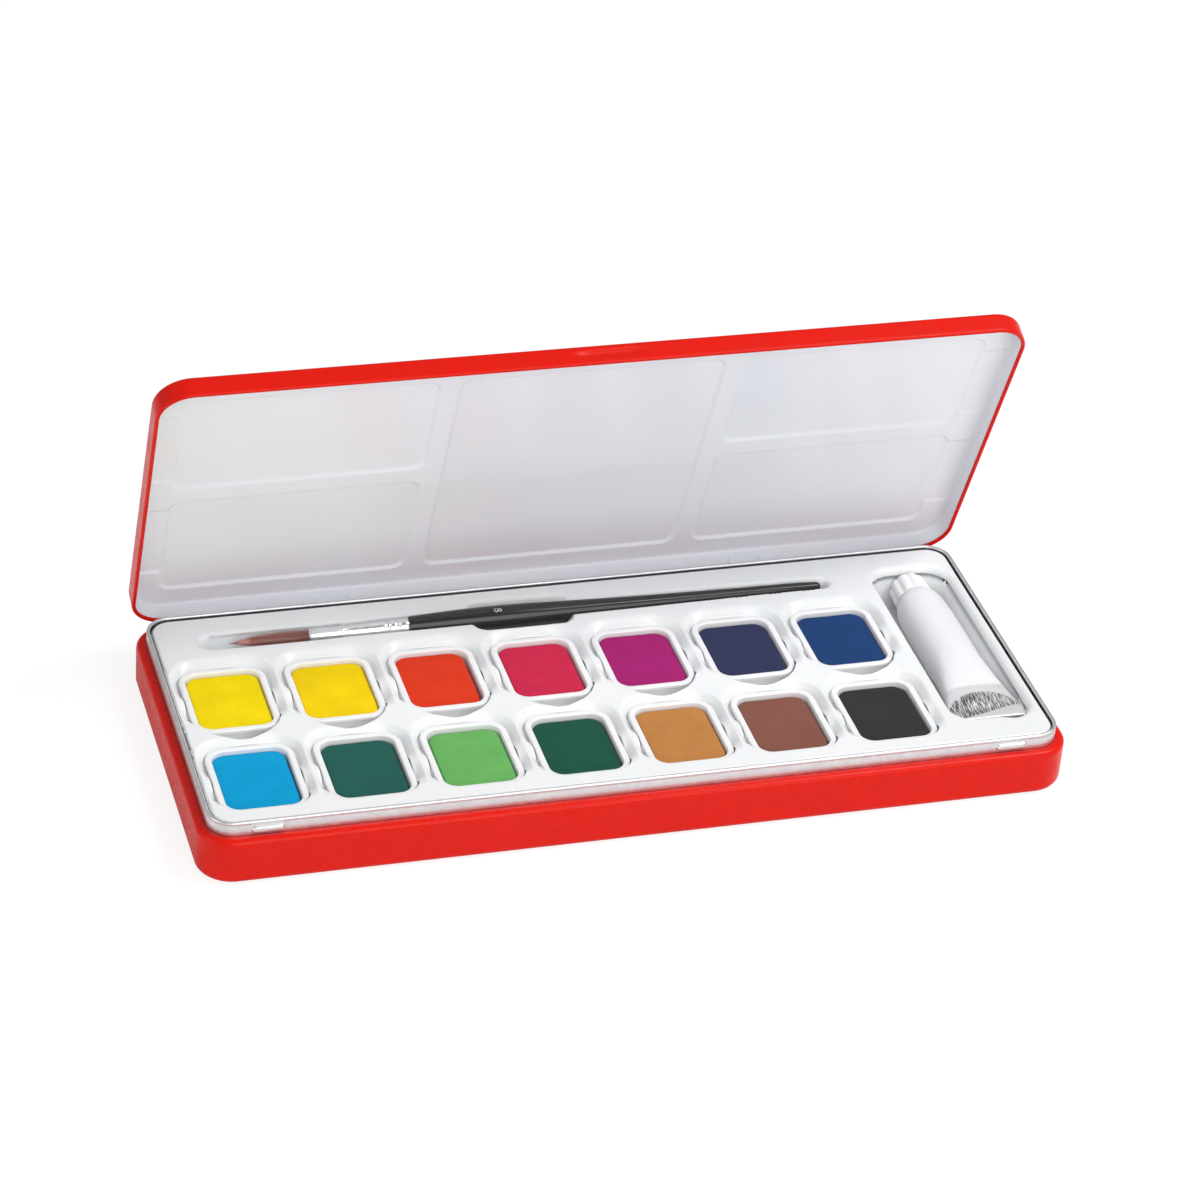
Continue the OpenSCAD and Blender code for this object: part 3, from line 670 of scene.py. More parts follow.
class PAINTSET_OT_lid(bpy.types.Operator):
    """Lid with its curled rim, pressed mixing wells and finger groove"""
    bl_idname = "paint_set.lid"
    bl_label = "Lid"

    def execute(self, context):
        s = settings("tin")
        rim = BASE_H + 0.3
        top = rim + s.lid_height
        shape = Shape()
        self.panel(shape, s, top, 0, 0.0, False)
        self.panel(shape, s, top, 1, SHEET, True)
        self.skirt(shape, s, rim, top)
        finishes = [enamel("lid_red", tuple(s.enamel)), palette_white("lid_white", tuple(s.inside))]
        gaps = hinge_boxes(TIN_D / 2 - 1.7, TIN_D / 2 - SHEET, rim - 0.1, rim + 1.75)
        shape.piece("lid", finishes, "lid", ["lid_shell"], move=lid_place(s), sharp=55,
                    cuts=gaps)
        return {"FINISHED"}

    def panel(self, shape, s, top, finish, under, flip):
        """The flat of the lid, seen from outside or, where under is the sheet, from inside."""
        inset = s.lid_edge + 1.2
        w, d, r = TIN_W / 2 - inset, TIN_D / 2 - inset, s.corner - inset
        flat = (0.0, 0.0, w, d, r)
        wells = [well_box(*well) for well in WELLS]
        field = [(x, y) for x in np.arange(-w + 3, w - 2, 5.0) for y in np.arange(-d + 3, d - 2, 5.0)]
        field = [p for p in field if all(abs(gap_at(p, well)) > 1.8 for well in wells)]
        keep = [p for p in well_points() + field if gap_at(p, flat) < -0.4]

        def height(x, y):
            fade = smooth((-distance(x, y, *flat)) / 1.5)
            return top - under + np.maximum(well_depth(x, y, s) * fade, notch_depth(x, y, s))

        loop = outline(flat, corner_steps=16, sides=EDGE_STEPS)
        shape.patch([loop], keep, height, lambda x, y: distance(x, y, *flat) < 0, finish, flip)

    def skirt(self, shape, s, rim, top):
        """The lid's wall, from the flat's edge over the outside, round the curl and up the inside."""
        e, c, edge = s.lid_edge, s.curl, s.lid_edge + 1.2
        outside = [(edge, top), (e + 0.4, top)] + arc((e, top - e), e, 90, 180, 10)
        outside += [(0.0, rim + 5.4 - 0.4 * k) for k in range(11)]
        outside += [(0.0, rim + c)] + arc((c, rim + c), c, 180, 450, 22)[1:]
        rings = around(shape, outside, TIN_W, TIN_D, s.corner, 0)
        self.groove(shape, rings, rim)
        self.lift(shape, rings, s, top)
        inside = [(c - 0.25, rim + 2 * c - 0.1), (SHEET + 0.05, rim + 2 * c - 0.5)]
        inside += [(SHEET, rim + 1.8 + 0.4 * k) for k in range(10)] + [(SHEET, top - e)]
        inside += arc((e, top - e), e - SHEET, 180, 90, 8)[1:]
        inside += [(e + 0.4, top - SHEET), (edge, top - SHEET)]
        rings = around(shape, inside, TIN_W, TIN_D, s.corner, 1)
        self.groove(shape, rings, rim)
        self.lift(shape, rings, s, top - SHEET)

    def lift(self, shape, rings, s, top):
        """Carries the notches' pressings out over the lid's edge."""
        for k in (k for ring in rings for k in ring):
            x, y, z = shape.points[k]
            if abs(x) > TIN_W / 2 - s.lid_edge - 1.3:
                share = smooth((z - top + s.lid_edge) / s.lid_edge)
                shape.points[k] = (x, y, z + float(share * notch_depth(np.array(x), np.array(y), s)))

    def groove(self, shape, rings, rim):
        """Presses the finger groove into the front wall."""
        for ring in rings:
            for k in ring:
                x, y, z = shape.points[k]
                if y < -TIN_D / 2 + 0.6 and z > rim + 1.5:
                    beyond = max(abs(x - FINGER_X) - FINGER_HALF, 0.0)
                    away = math.hypot(beyond / 1.6, (z - rim - FINGER_RISE) / 1.3)
                    shape.points[k] = (x, y + FINGER_DEEP * float(smooth(1.4 - away)), z)


class PAINTSET_OT_hinges(bpy.types.Operator):
    """Finishes of the hinge leaves and pins: metal, with the lid's leaves in white enamel"""
    bl_idname = "paint_set.hinges"
    bl_label = "Hinges"

    def execute(self, context):
        steel = tinplate("hinge_steel", (0.52, 0.53, 0.54), stretch=(1, 0.1, 0.1), rough=0.32)
        white = palette_white("hinge_white", tuple(settings("tin").inside))
        for name in ("base_hinge_leaves", "hinge_pins", "lid_hinge_leaves"):
            mesh = frame["nodes"][name].data
            mesh.materials.clear()
            mesh.materials.append(white if name == "lid_hinge_leaves" else steel)
        return {"FINISHED"}


# ---- Tray ----

POCKET_PLAY = 0.3
TRAY_CORNER = 6.25
TUBE_POCKET_X, TUBE_POCKET_W, TUBE_POCKET_D = 15.95, 12.95, 42.0  # from the tray's right edge; half sizes
TUBE_POCKET_DEEP = 14.9
GROOVE = {"left": -116.7, "right": 88.3, "half": 4.1, "depth": 5.6}
SCOOP = {"left": -31.4, "right": 1.6, "half": 8.2, "corner": 5.0}


def pan_spot(i):
    """Middle, half width and half depth of a pan."""
    low, high = PAN_BOXES[i]
    return (low[0] + high[0]) / 2, (low[1] + high[1]) / 2, (high[0] - low[0]) / 2, (high[1] - low[1]) / 2


def pan_box(i):
    """Middle, half sizes and corner radius of a pan's pocket."""
    cx, cy, half_w, half_d = pan_spot(i)
    return cx, cy, half_w + POCKET_PLAY, half_d + POCKET_PLAY, settings("pan").corner + POCKET_PLAY


def tray_outline():
    """Middle, half sizes and corner radius of the tray's outer edge."""
    return 0.0, 0.0, (TRAY_HIGH[0] - TRAY_LOW[0]) / 2, -TRAY_LOW[1], TRAY_CORNER


def tube_pocket():
    """Middle, half sizes and corner radius of the tube's pocket."""
    back = node_box("tube_cap")[1][1] + 1.9
    return TRAY_HIGH[0] - TUBE_POCKET_X, back - TUBE_POCKET_D, TUBE_POCKET_W, TUBE_POCKET_D, 7.5


def scoop_box():
    """Middle, half sizes and corner radius of the finger scoop across the brush's groove."""
    left, right = SCOOP["left"], SCOOP["right"]
    return (left + right) / 2, brush_axis()[1], (right - left) / 2, SCOOP["half"], SCOOP["corner"]


SIDE_DIPS = (  # distance along a pan's outline from its front middle, and the share of a full dip there
    (0.0, 0.0), (14.5, 0.0), (17.4, 0.35), (20.6, 0.95), (23.0, 0.82), (25.6, 0.42), (27.7, 0.30),
    (29.8, 0.42), (32.4, 0.82), (35.0, 1.0), (39.0, 0.90), (43.5, 0.95), (47.5, 0.60), (51.0, 0.42),
    (56.0, 0.40),
)


DIP_REACH, FRONT_BANK = 2.75, 3.0


def beside_pan(x, y, i, s):
    """How far the tray's face sinks beside pan i."""
    cx, cy, half_w, half_d, r = pan_box(i)
    flat_w, flat_d = half_w - r, half_d - r
    px, py = np.abs(x - cx), y - cy
    qx, qy = np.maximum(px - flat_w, 0), np.maximum(np.abs(py) - flat_d, 0)
    gap = np.maximum(distance(x, y, cx, cy, half_w, half_d, r), 0)
    turn = np.arctan2(qy, np.maximum(qx, 1e-9)) * r
    corner = r * math.pi / 2
    front = np.where(py < -flat_d, np.where(px < flat_w, px, flat_w + corner - turn), 0)
    side = flat_w + corner + np.clip(py + flat_d, 0, 2 * flat_d)
    back = flat_w + corner + 2 * flat_d + turn + np.where(px < flat_w, flat_w - px, 0)
    along = np.where(py < -flat_d, front, np.where(py > flat_d, back, side))
    share = np.interp(along, [a for a, _ in SIDE_DIPS], [v for _, v in SIDE_DIPS])
    behind = smooth((along - 40.0) / 10.0)
    row_reach = s.bank if i < COLUMNS else FRONT_BANK
    reach = DIP_REACH + (row_reach - DIP_REACH) * behind
    return s.dip * share * (1 - smooth(gap / reach)) * (gap < 8)


MOON_R, MOON_REACH, MOON_SHIFT = 13.0, 5.6, 0.3


def moon_middle(i):
    """Middle of the circle that the half-moon recess in front of pan i is a part of."""
    cx, cy, _, half_d = pan_spot(i)
    return cx + MOON_SHIFT, cy - half_d - POCKET_PLAY - MOON_REACH + MOON_R


def moon_gap(x, y, i):
    """Distance from the edge of the half-moon recess in front of pan i."""
    cx, cy = moon_middle(i)
    return np.hypot(x - cx, y - cy) - MOON_R


def groove_depth(x, y):
    """Depth of the brush's groove and of its finger scoop."""
    axis = brush_axis()[1]
    half = np.interp(x, [-80, -70, -45, 20, 60], [4.5, 4.2, 4.4, 4.0, 3.4])
    beyond = np.maximum(np.maximum(GROOVE["left"] + 4 - x, x - GROOVE["right"] + 4), 0)
    gap = np.hypot(beyond, y - axis) - half
    deep = GROOVE["depth"] * smooth(-gap / 3.0 + 0.1)
    wide = distance(x, y, *scoop_box())
    return np.maximum(deep, (GROOVE["depth"] - 0.3) * smooth(-wide / 3.4 + 0.12))


def brush_axis():
    """A point on the brush's axis."""
    low, high = node_box("brush_handle")
    return low[0], (low[1] + high[1]) / 2, (low[2] + high[2]) / 2


PAN_EDGE = 0.45
POCKET_EDGE, POCKET_SLOPE = 0.7, 2.1


def tray_height(x, y, s):
    """Height of the tray's face at a point."""
    sink = np.zeros_like(x)
    for i in range(PANS):
        sink = np.maximum(sink, beside_pan(x, y, i, s))
        if i < COLUMNS:
            sink = np.maximum(sink, s.moon * smooth(-moon_gap(x, y, i) / 0.9 + 0.15))
    sink = np.maximum(sink, groove_depth(x, y))
    edges = [-distance(x, y, *tray_outline()), distance(x, y, *tube_pocket())]
    edges += [distance(x, y, *pan_box(i)) for i in range(PANS)]
    pocket_x, pocket_y, _, pocket_d, _ = tube_pocket()
    right, back = smooth((x - pocket_x) / 8.0), smooth((y - pocket_y - pocket_d + 6.0) / 6.0)
    slope = POCKET_EDGE + POCKET_SLOPE * np.maximum(right, back)
    for gap, r in zip(edges, [s.edge, slope] + [PAN_EDGE] * PANS):
        t = np.clip(1 - np.maximum(gap, 0) / r, 0, 1)
        sink = sink + r * (1 - np.sqrt(1 - t * t))
    return TRAY_TOP - sink


PAN_STEPS = (0.04, 0.11, 0.22, 0.36, 0.5, 0.75, 1.05, 1.35, 1.65, 1.95, 2.25, 2.6, 3.0, 3.5, 4.1, 4.7, 5.4)
PAN_LOOP = {"step": 0.8, "corner_steps": 14}
TUBE_LOOP = {"step": 1.5, "corner_steps": 16}
RIM_LOOP = {"step": 1.5, "corner_steps": 12}


def near_pan(point, spot):
    """Whether a point lies in the band round a pan where the tray's face bends."""
    cx, cy, half_w, half_d = spot
    return abs(point[0] - cx) < half_w + 2.93 and -half_d - 4.2 < point[1] - cy < half_d + 5.6


def tray_points():
    """Points close together where the tray's face bends, and further apart where it is flat."""
    points = []
    for i in range(PANS):
        for off in PAN_STEPS:
            ring = outline(pan_box(i), off, **PAN_LOOP)
            points += [p for p in ring if near_pan(p, pan_spot(i))]
        if i < COLUMNS:
            cx, cy = moon_middle(i)
            for off in (-1.3, -1.0, -0.75, -0.5, -0.3, -0.1, 0.1, 0.3):
                points += [(cx + p, q) for p, q in arc((0, cy), MOON_R + off, -142, -38, 60)]
    axis = brush_axis()[1]
    for dy in np.arange(-4.9, 5.0, 0.35):
        points += [(x, axis + dy) for x in np.arange(GROOVE["left"] - 2, GROOVE["right"] + 2, 1.4)]
    for off in (-4.6, -3.6, -2.8, -2.2, -1.7, -1.3, -0.9, -0.5, -0.1, 0.3, 0.8):
        points += outline(scoop_box(), off, step=0.9, corner_steps=10)
    for off in (0.1, 0.25, 0.45, 0.7, 1.0, 1.3, 1.7, 2.1, 2.6, 3.2):
        points += outline(tube_pocket(), off, **TUBE_LOOP)
    for off in (0.05, 0.15, 0.3, 0.5, 0.7, 0.95, 1.4, 2.2):
        points += outline(tray_outline(), -off, **RIM_LOOP)
    _, _, half_w, half_d, _ = tray_outline()
    points += [(x, y) for x in np.arange(-half_w, half_w, 1.6) for y in np.arange(-half_d, half_d, 1.6)]
    return points


TUBE_WALL = (  # share of the wall's reach inwards, and share of its depth, from the top
    (0, 0), (0.2, 0.1), (0.42, 0.22), (0.65, 0.37), (0.82, 0.52), (0.93, 0.68), (1.0, 0.82),
    (1.1, 0.92), (1.3, 0.98), (1.7, 1.0), (5.0, 1.0),
)
LEAN_FRONT, LEAN_MORE, LEAN_BACK = 0.5, 2.7, 1.4
SNAP_HALF, SNAP_OUT = 5.4, 0.35


class PAINTSET_OT_tray(bpy.types.Operator):
    """White moulded tray with its pan pockets, dips, half-moons, groove and tube pocket"""
    bl_idname = "paint_set.tray"
    bl_label = "Tray"

    def execute(self, context):
        s = settings("tray")
        holes = [pan_box(i) for i in range(PANS)] + [tube_pocket()]
        loops = [outline(hole, **PAN_LOOP) for hole in holes[:-1]] + [outline(holes[-1], **TUBE_LOOP)]
        rim = outline(tray_outline(), **RIM_LOOP)

        def inside(x, y):
            keep = distance(x, y, *tray_outline()) < 0
            for hole in holes:
                keep &= distance(x, y, *hole) > 0
            return keep

        points = np.array(tray_points())
        clear_of = distance(points[:, 0], points[:, 1], *tray_outline()) < -0.03
        for hole in holes:
            clear_of &= distance(points[:, 0], points[:, 1], *hole) > 0.03
        shape = Shape()
        shape.patch([rim] + loops, points[clear_of].tolist(), lambda x, y: tray_height(x, y, s), inside)
        for loop, hole, (low, high) in zip(loops, holes, PAN_BOXES):
            self.pocket(shape, loop, hole, low[2] - 0.05, high[2] - settings("pan").flange - 0.06, s)
        self.tube_walls(shape, loops[-1], holes[-1], TRAY_TOP - TUBE_POCKET_DEEP, s)
        self.wall(shape, rim, s)
        white = moulded("tray_white", tuple(s.white))
        shape.piece("tray_moulding", [white], "tray", ["tray"], weld=0.004, thick=0.35)
        return {"FINISHED"}

    def pocket(self, shape, loop, hole, floor, ledge, s):
        """A pan's pocket: the ledge under the flange, the wall, its rounded foot and the floor."""
        top = tray_height(*np.array(loop).T, s)
        half = min(hole[2], hole[3])
        shelf = [min(z, ledge) for z in top]
        step, draft, foot = POCKET_PLAY + settings("pan").overhang - 0.08, 0.06, 0.8
        rings = [[(x, y, z) for (x, y), z in zip(loop, top)]]
        rings += [self.inner(loop, hole, inset, shelf) for inset in (0.03, step)]
        for k in range(1, 4):
            heights = [z + (floor + foot - z) * k / 3 for z in shelf]
            rings.append(self.inner(loop, hole, step + draft * k / 3, heights))
        for k in range(1, 7):
            a = math.radians(15 * k)
            inset = step + draft + foot * (1 - math.cos(a))
            rings.append(self.inner(loop, hole, inset, [floor + foot * (1 - math.sin(a))] * len(loop)))
        rings.append(self.inner(loop, hole, half * 0.6, [floor] * len(loop)))
        shape.loft([list(reversed(r)) for r in rings], caps=(False, True))

    def tube_walls(self, shape, loop, hole, floor, s):
        """The tube's pocket: upright at its left and front, and sloping at its right and back."""
        top = tray_height(*np.array(loop).T, s)
        cx, cy, half_w, half_d, _ = hole
        left, front = cx - half_w, cy - half_d
        rings = []
        for share, drop in TUBE_WALL:
            ring = []
            for (x, y), z in zip(loop, top):
                lean = LEAN_FRONT + LEAN_MORE * float(smooth((y - front - 6.0) / 35.0))
                ring.append((left + (x - left) * (1 - lean * share / (2 * half_w)),
                             front + (y - front) * (1 - LEAN_BACK * share / (2 * half_d)),
                             z + (floor - z) * drop))
            rings.append(ring)
        shape.loft([list(reversed(r)) for r in rings], caps=(False, True))

    def inner(self, loop, hole, inset, heights):
        """The pocket's outline drawn in by inset."""
        cx, cy, half_w, half_d, r = hole
        out = []
        for (x, y), z in zip(loop, heights):
            qx, qy = abs(x - cx) - (half_w - r), abs(y - cy) - (half_d - r)
            if qx > 0 and qy > 0:
                scale = max(r - inset, 0.05) / r
                shrink = max(inset - r + 0.05, 0)
                nx, ny = half_w - r - shrink + qx * scale, half_d - r - shrink + qy * scale
            elif qx > qy:
                nx, ny = half_w - inset, min(abs(y - cy), half_d - max(inset, r))
            else:
                nx, ny = min(abs(x - cx), half_w - max(inset, r)), half_d - inset
            out.append((cx + math.copysign(nx, x - cx), cy + math.copysign(ny, y - cy), z))
        return out

    def wall(self, shape, rim, s):
        """The tray's outer wall, with the two snap bumps on its back edge."""
        top = TRAY_TOP - s.edge
        rings = []
        for z in (top, top - 0.4, top - 0.8, top - 1.2, top - 1.6, top - 2.2, TRAY_LOW[2] + 0.6, TRAY_LOW[2]):
            ring = []
            for x, y in rim:
                out = 0.0
                if y > 0:
                    reach = max(abs(abs(x) - HINGE_X) - SNAP_HALF, 0.0) / 1.6
                    out = SNAP_OUT * float(smooth(1.2 - math.hypot(reach, (z - top + 0.6) / 0.9)))
                ring.append((x, y + out, z))
            rings.append(ring)
        shape.loft(rings)


# ---- Pans and paint ----

PAINT_COLOURS = [
    ("lemon_yellow", (0.871, 0.672, 0.001)), ("warm_yellow", (0.871, 0.610, 0.001)),
    ("orange_red", (0.694, 0.041, 0.011)), ("crimson", (0.584, 0.021, 0.069)),
    ("magenta", (0.366, 0.015, 0.156)), ("dark_violet", (0.031, 0.036, 0.091)),
    ("deep_blue", (0.012, 0.048, 0.159)), ("cyan", (0.001, 0.327, 0.624)),
    ("dark_teal", (0.017, 0.105, 0.084)), ("light_green", (0.138, 0.429, 0.114)),
    ("dark_green", (0.012, 0.084, 0.053)), ("ochre", (0.503, 0.216, 0.060)),
    ("brown", (0.235, 0.089, 0.065)), ("black", (0.034, 0.034, 0.034)),
]
SHRINKAGE = [  # gap of each cake at its left, right, front and back, in millimetres
    (0.25, 0.2, 0.2, 0.3), (0.25, 0.2, 0.1, 0.2), (0.1, 1.1, 0.5, 0.3), (0.5, 0.6, 0.4, 0.5),
    (0.3, 0.3, 0.2, 0.3), (0.2, 0.5, 0.4, 0.5), (0.2, 0.4, 0.3, 0.4), (0.2, 0.6, 0.1, 0.2),
    (0.4, 0.5, 0.2, 0.5), (0.7, 0.3, 0.2, 0.7), (0.3, 0.6, 0.3, 0.6), (0.4, 0.4, 0.3, 0.4),
    (0.2, 0.6, 0.3, 0.5), (0.3, 0.6, 0.3, 0.5),
]


class PAINTSET_OT_pans(bpy.types.Operator):
    """The lift-out plastic pans"""
    bl_idname = "paint_set.pans"
    bl_label = "Pans"

    def execute(self, context):
        s = settings("pan")
        white = moulded("pan_white", tuple(s.white), 0.28)
        for i in range(PANS):
            name = "pan_%02d" % (i + 1)
            (_, _, low), (_, _, high) = PAN_BOXES[i]
            cx, cy, half_w, half_d = pan_spot(i)
            o, rim, lip = s.overhang, s.rim, high - s.flange
            section = [(o + 3, low), (o + 0.5, low), (o + 0.14, low + 0.16), (o, low + 0.5)]
            section += [(o, lip - 0.05), (o - 0.12, lip)]
            section += [(0.2, lip), (0.05, lip + 0.06), (0.0, lip + 0.25), (0.0, high - 0.45)]
            section += arc((0.45, high - 0.45), 0.45, 180, 90, 5)[1:]
            section += [(rim - 0.5, high)] + arc((rim - 0.5, high - 0.5), 0.5, 90, 0, 5)[1:]
            section += [(rim + 0.05, high - 2.5), (rim + 0.2, low + 1.6)]
            section += [(rim + 0.8, low + 1.0), (rim + 3, low + 1.0)]
            box = (cx, cy, half_w, half_d, s.corner)
            rings = [[(x, y, z) for x, y in outline(box, -inset, sides=(4, 5))] for inset, z in section]
            shape = Shape()
            shape.loft(rings, caps=(True, True))
            shape.piece("moulded_" + name, [white], "filled_" + name, [name], sharp=60)
        return {"FINISHED"}


class PAINTSET_OT_paint(bpy.types.Operator):
    """The dried cakes of gouache, each shrunk a little from its pan"""
    bl_idname = "paint_set.paint"
    bl_label = "Paint"

    def execute(self, context):
        s = settings("pan")
        for i, ((tone, shade), gaps) in enumerate(zip(PAINT_COLOURS, SHRINKAGE)):
            (x0, y0, low), (x1, y1, high) = PAINT_BOXES[i]
            left, right, front, back = gaps
            cx, cy = (x0 + left + x1 - right) / 2, (y0 + front + y1 - back) / 2
            half_w, half_d = (x1 - right - x0 - left) / 2, (y1 - back - y0 - front) / 2
            r = s.corner - s.rim - 0.1
            shape = Shape()
            levels = [(0.9, low + 0.03), (0.3, low + 0.25), (0.05, low + 1.0), (0.0, high - 1.2)]
            levels += [(0.0, high - 0.45), (0.08, high - 0.18), (0.25, high - 0.03), (0.5, high + 0.02)]
            levels += [(0.5 + k * 1.06, high) for k in range(1, 10)]
            rings = []
            for k, (inset, z) in enumerate(levels):
                ring = []
                edge_line = rounded(half_w - inset, half_d - inset, r - inset * 0.35, (cx, cy),
                                    corner_steps=8, sides=(12, 16))
                for x, y in edge_line:
                    wave = noise.noise(Vector((x * 0.11, y * 0.11, i * 3.7))) * 0.10 if k > 3 else 0.0
                    edge = noise.noise(Vector((x * 0.45, y * 0.45, i * 5.1))) * 0.09 if 2 < k < 8 else 0.0
                    ring.append((x + edge, y + edge, z + wave))
                rings.append(ring)
            shape.loft(rings, caps=(True, True))
            name = "paint_%02d" % (i + 1)
            shape.piece("cake_%02d_%s" % (i + 1, tone), [gouache("gouache_" + tone, shade, s.grain)],
                        "filled_pan_%02d" % (i + 1), [name])
        return {"FINISHED"}


# ---- Brush ----

HANDLE_SPAN = 136  # length of the handle that its stations were taken from
TIP_R = 1.5
NUMBER_PLACE, NUMBER_TURN = 28.7, 108
THIRDS = (0.0, 2.094, 4.189)  # turns of a hair's three sides, in radians
RINGS = ((-0.9, 0.0), (-0.55, -0.16), (-0.3, -0.02), (0.0, 0.10), (0.3, -0.02), (0.55, -0.16), (0.9, 0.0))
TUFT_AT = [-0.1, 0, 0.15, 0.35, 0.55, 0.75, 0.9, 1.0]
TUFT_R = [1.95, 2.0, 2.12, 2.12, 1.85, 1.25, 0.6, 0.12]


class PAINTSET_OT_brush(bpy.types.Operator):
    """Round brush: lacquered handle, crimped ferrule, bristles and clear sleeve"""
    bl_idname = "paint_set.brush"
    bl_label = "Brush"

    def execute(self, context):
        s = settings("brush")
        self.handle(s)
        self.ferrule()
        self.bristles(s)
        self.sleeve()
        return {"FINISHED"}

    def handle(self, s):
        """The turned handle, thickest a quarter of the way along."""
        low, high = node_box("brush_handle")
        start = node_box("brush_ferrule")[1][0]
        span = high[0] - start
        belly = (high[1] - low[1]) / 2
        _, axis_y, axis_z = brush_axis()
        profile = [(-0.6, 2.9), (0.0, 3.02)]
        stations = [(3, 3.2), (8, 3.42), (14, 3.66), (20, 3.82), (26, belly - 0.02), (30, belly), (36, 3.8)]
        stations += [(44, 3.55), (54, 3.2), (66, 2.85), (80, 2.52), (94, 2.26), (108, 2.06), (120, 1.92)]
        stations += [(130, 1.80)]
        profile += [(x * span / HANDLE_SPAN, r) for x, r in stations]
        profile += [(span - TIP_R + x, y) for x, y in arc((0, 0), TIP_R, 90, 0, 6)[:-1]]
        profile += [(span - 0.01, 0.15)]
        shape = Shape()
        turned(shape, profile, (start, axis_y, axis_z), steps=48)
        black = lacquer("handle_black", tuple(s.lacquer))
        shape.piece("handle", [black], "brush", ["brush_handle"], sharp=60)
        self.size_number(start + NUMBER_PLACE, axis_y, axis_z, belly)

    def size_number(self, x, y, z, r):
        """The plain size number 8, as two thin silver loops on the handle."""
        shape = Shape()
        for middle, size in ((-0.62, 0.60), (0.60, 0.50)):
            rings = []
            for out, grow in ((0.0, -0.13), (0.03, -0.11), (0.03, 0.11), (0.0, 0.13)):
                ring = []
                for k in range(20):
                    a = 2 * math.pi * k / 20
                    u, v = (size + grow) * math.cos(a), middle + (size + grow) * math.sin(a)
                    turn = math.radians(NUMBER_TURN) + u / r
                    high = r - 0.03 + out + 0.02
                    ring.append((x + v, y + high * math.cos(turn), z + high * math.sin(turn)))
                rings.append(ring)
            shape.loft(rings + rings[:1])
        silver = tinplate("print_silver", (0.75, 0.75, 0.74), rough=0.4)
        shape.piece("size_number_8", [silver], "brush", weld=0.001)

    def ferrule(self):
        """The tapered ferrule with a bead and two crimped rings."""
        low, high = node_box("brush_ferrule")
        span, mouth, end = high[0] - low[0], 2.35, 3.2
        _, axis_y, axis_z = brush_axis()

        def r(x):
            return mouth + (end - mouth) * x / span

        profile = [(0.05, mouth - 0.3), (0.0, mouth - 0.08), (0.12, mouth)]
        profile += [(x, r(x)) for x in (2, 5, 9, 10.0)]
        profile += [(10.3, r(10.3) + 0.07), (10.6, r(10.6) + 0.07), (10.9, r(10.9))]
        profile += [(x, r(x)) for x in (14, 19, 23.6)]
        for at in (span - 6.3, span - 3.1):
            profile += [(at + along, r(at) + out) for along, out in RINGS]
        profile += [(span - 0.15, end), (span, end - 0.06), (span, end - 0.25)]
        shape = Shape()
        turned(shape, profile, (low[0], axis_y, axis_z), steps=48, caps=(False, False))
        metal = tinplate("ferrule_metal", (0.80, 0.81, 0.82), stretch=(1, 0.05, 0.05), rough=0.16)
        shape.piece("ferrule", [metal], "brush", ["brush_ferrule"], sharp=70)

    def bristles(self, s):
        """Single hairs in a spiral round a core, longest at the middle."""
        _, axis_y, axis_z = brush_axis()
        mouth = node_box("brush_ferrule")[0][0]
        span = mouth - node_box("brush_bristles")[0][0]
        rng = random.Random(8)
        shape = Shape()
        for k in range(s.strands):
            place = math.sqrt((k + 0.5) / s.strands)
            a = k * math.pi * (3 - math.sqrt(5))
            reach = span * (1 - 0.30 * place ** 1.5) * rng.uniform(0.965, 1.0)
            wide = rng.uniform(0.045, 0.06)
            rings = []
            for t in (-0.04, 0.2, 0.45, 0.65, 0.82, 1.0):
                x = mouth - t * reach
                spread = self.tuft(t * reach / span) * place
                thick = wide * (1 - 0.82 * max(t, 0) ** 2)
                wobble = 0.05 * t * math.sin(k * 1.7 + t * 4)
                cy, cz = spread * math.cos(a) + wobble, spread * math.sin(a) + wobble * 0.5
                rings.append([(x, axis_y + cy + thick * math.cos(b), axis_z + cz + thick * math.sin(b))
                              for b in (a + turn for turn in THIRDS)])
            shape.loft(rings, caps=(False, True))
        core = [(mouth + 0.6 - t * span * 0.9, self.tuft(t * 0.9) * 0.86)
                for t in (0, 0.1, 0.25, 0.4, 0.55, 0.7, 0.85, 0.97)]
        turned(shape, [(x, max(r, 0.05)) for x, r in core], (0, axis_y, axis_z), steps=24)
        brown = hair("brown_hair", tuple(s.hair))
        shape.piece("bristles", [brown], "brush", ["brush_bristles"], weld=0.0005)

    def tuft(self, t):
        """Radius of the tuft at a share t of its length."""
        return float(np.interp(t, TUFT_AT, TUFT_R))

    def sleeve(self):
        """The clear tube over the bristles."""
        low, high = node_box("brush_sleeve")
        span, r, wall = high[0] - low[0], (high[1] - low[1]) / 2, 0.22
        _, axis_y, axis_z = brush_axis()
        profile = [(0.0, r - wall), (0.0, r - 0.03), (0.08, r), (span * 0.5, r), (span - 0.08, r)]
        profile += [(span, r - 0.03), (span, r - wall), (span * 0.5, r - wall), (0.0, r - wall)]
        shape = Shape()
        turned(shape, profile, (low[0], axis_y, axis_z), steps=48, caps=(False, False))
        plastic = clear("sleeve_clear")
        shape.piece("clear_sleeve", [plastic], "brush", ["brush_sleeve"], sharp=60)


# ---- Tube ----

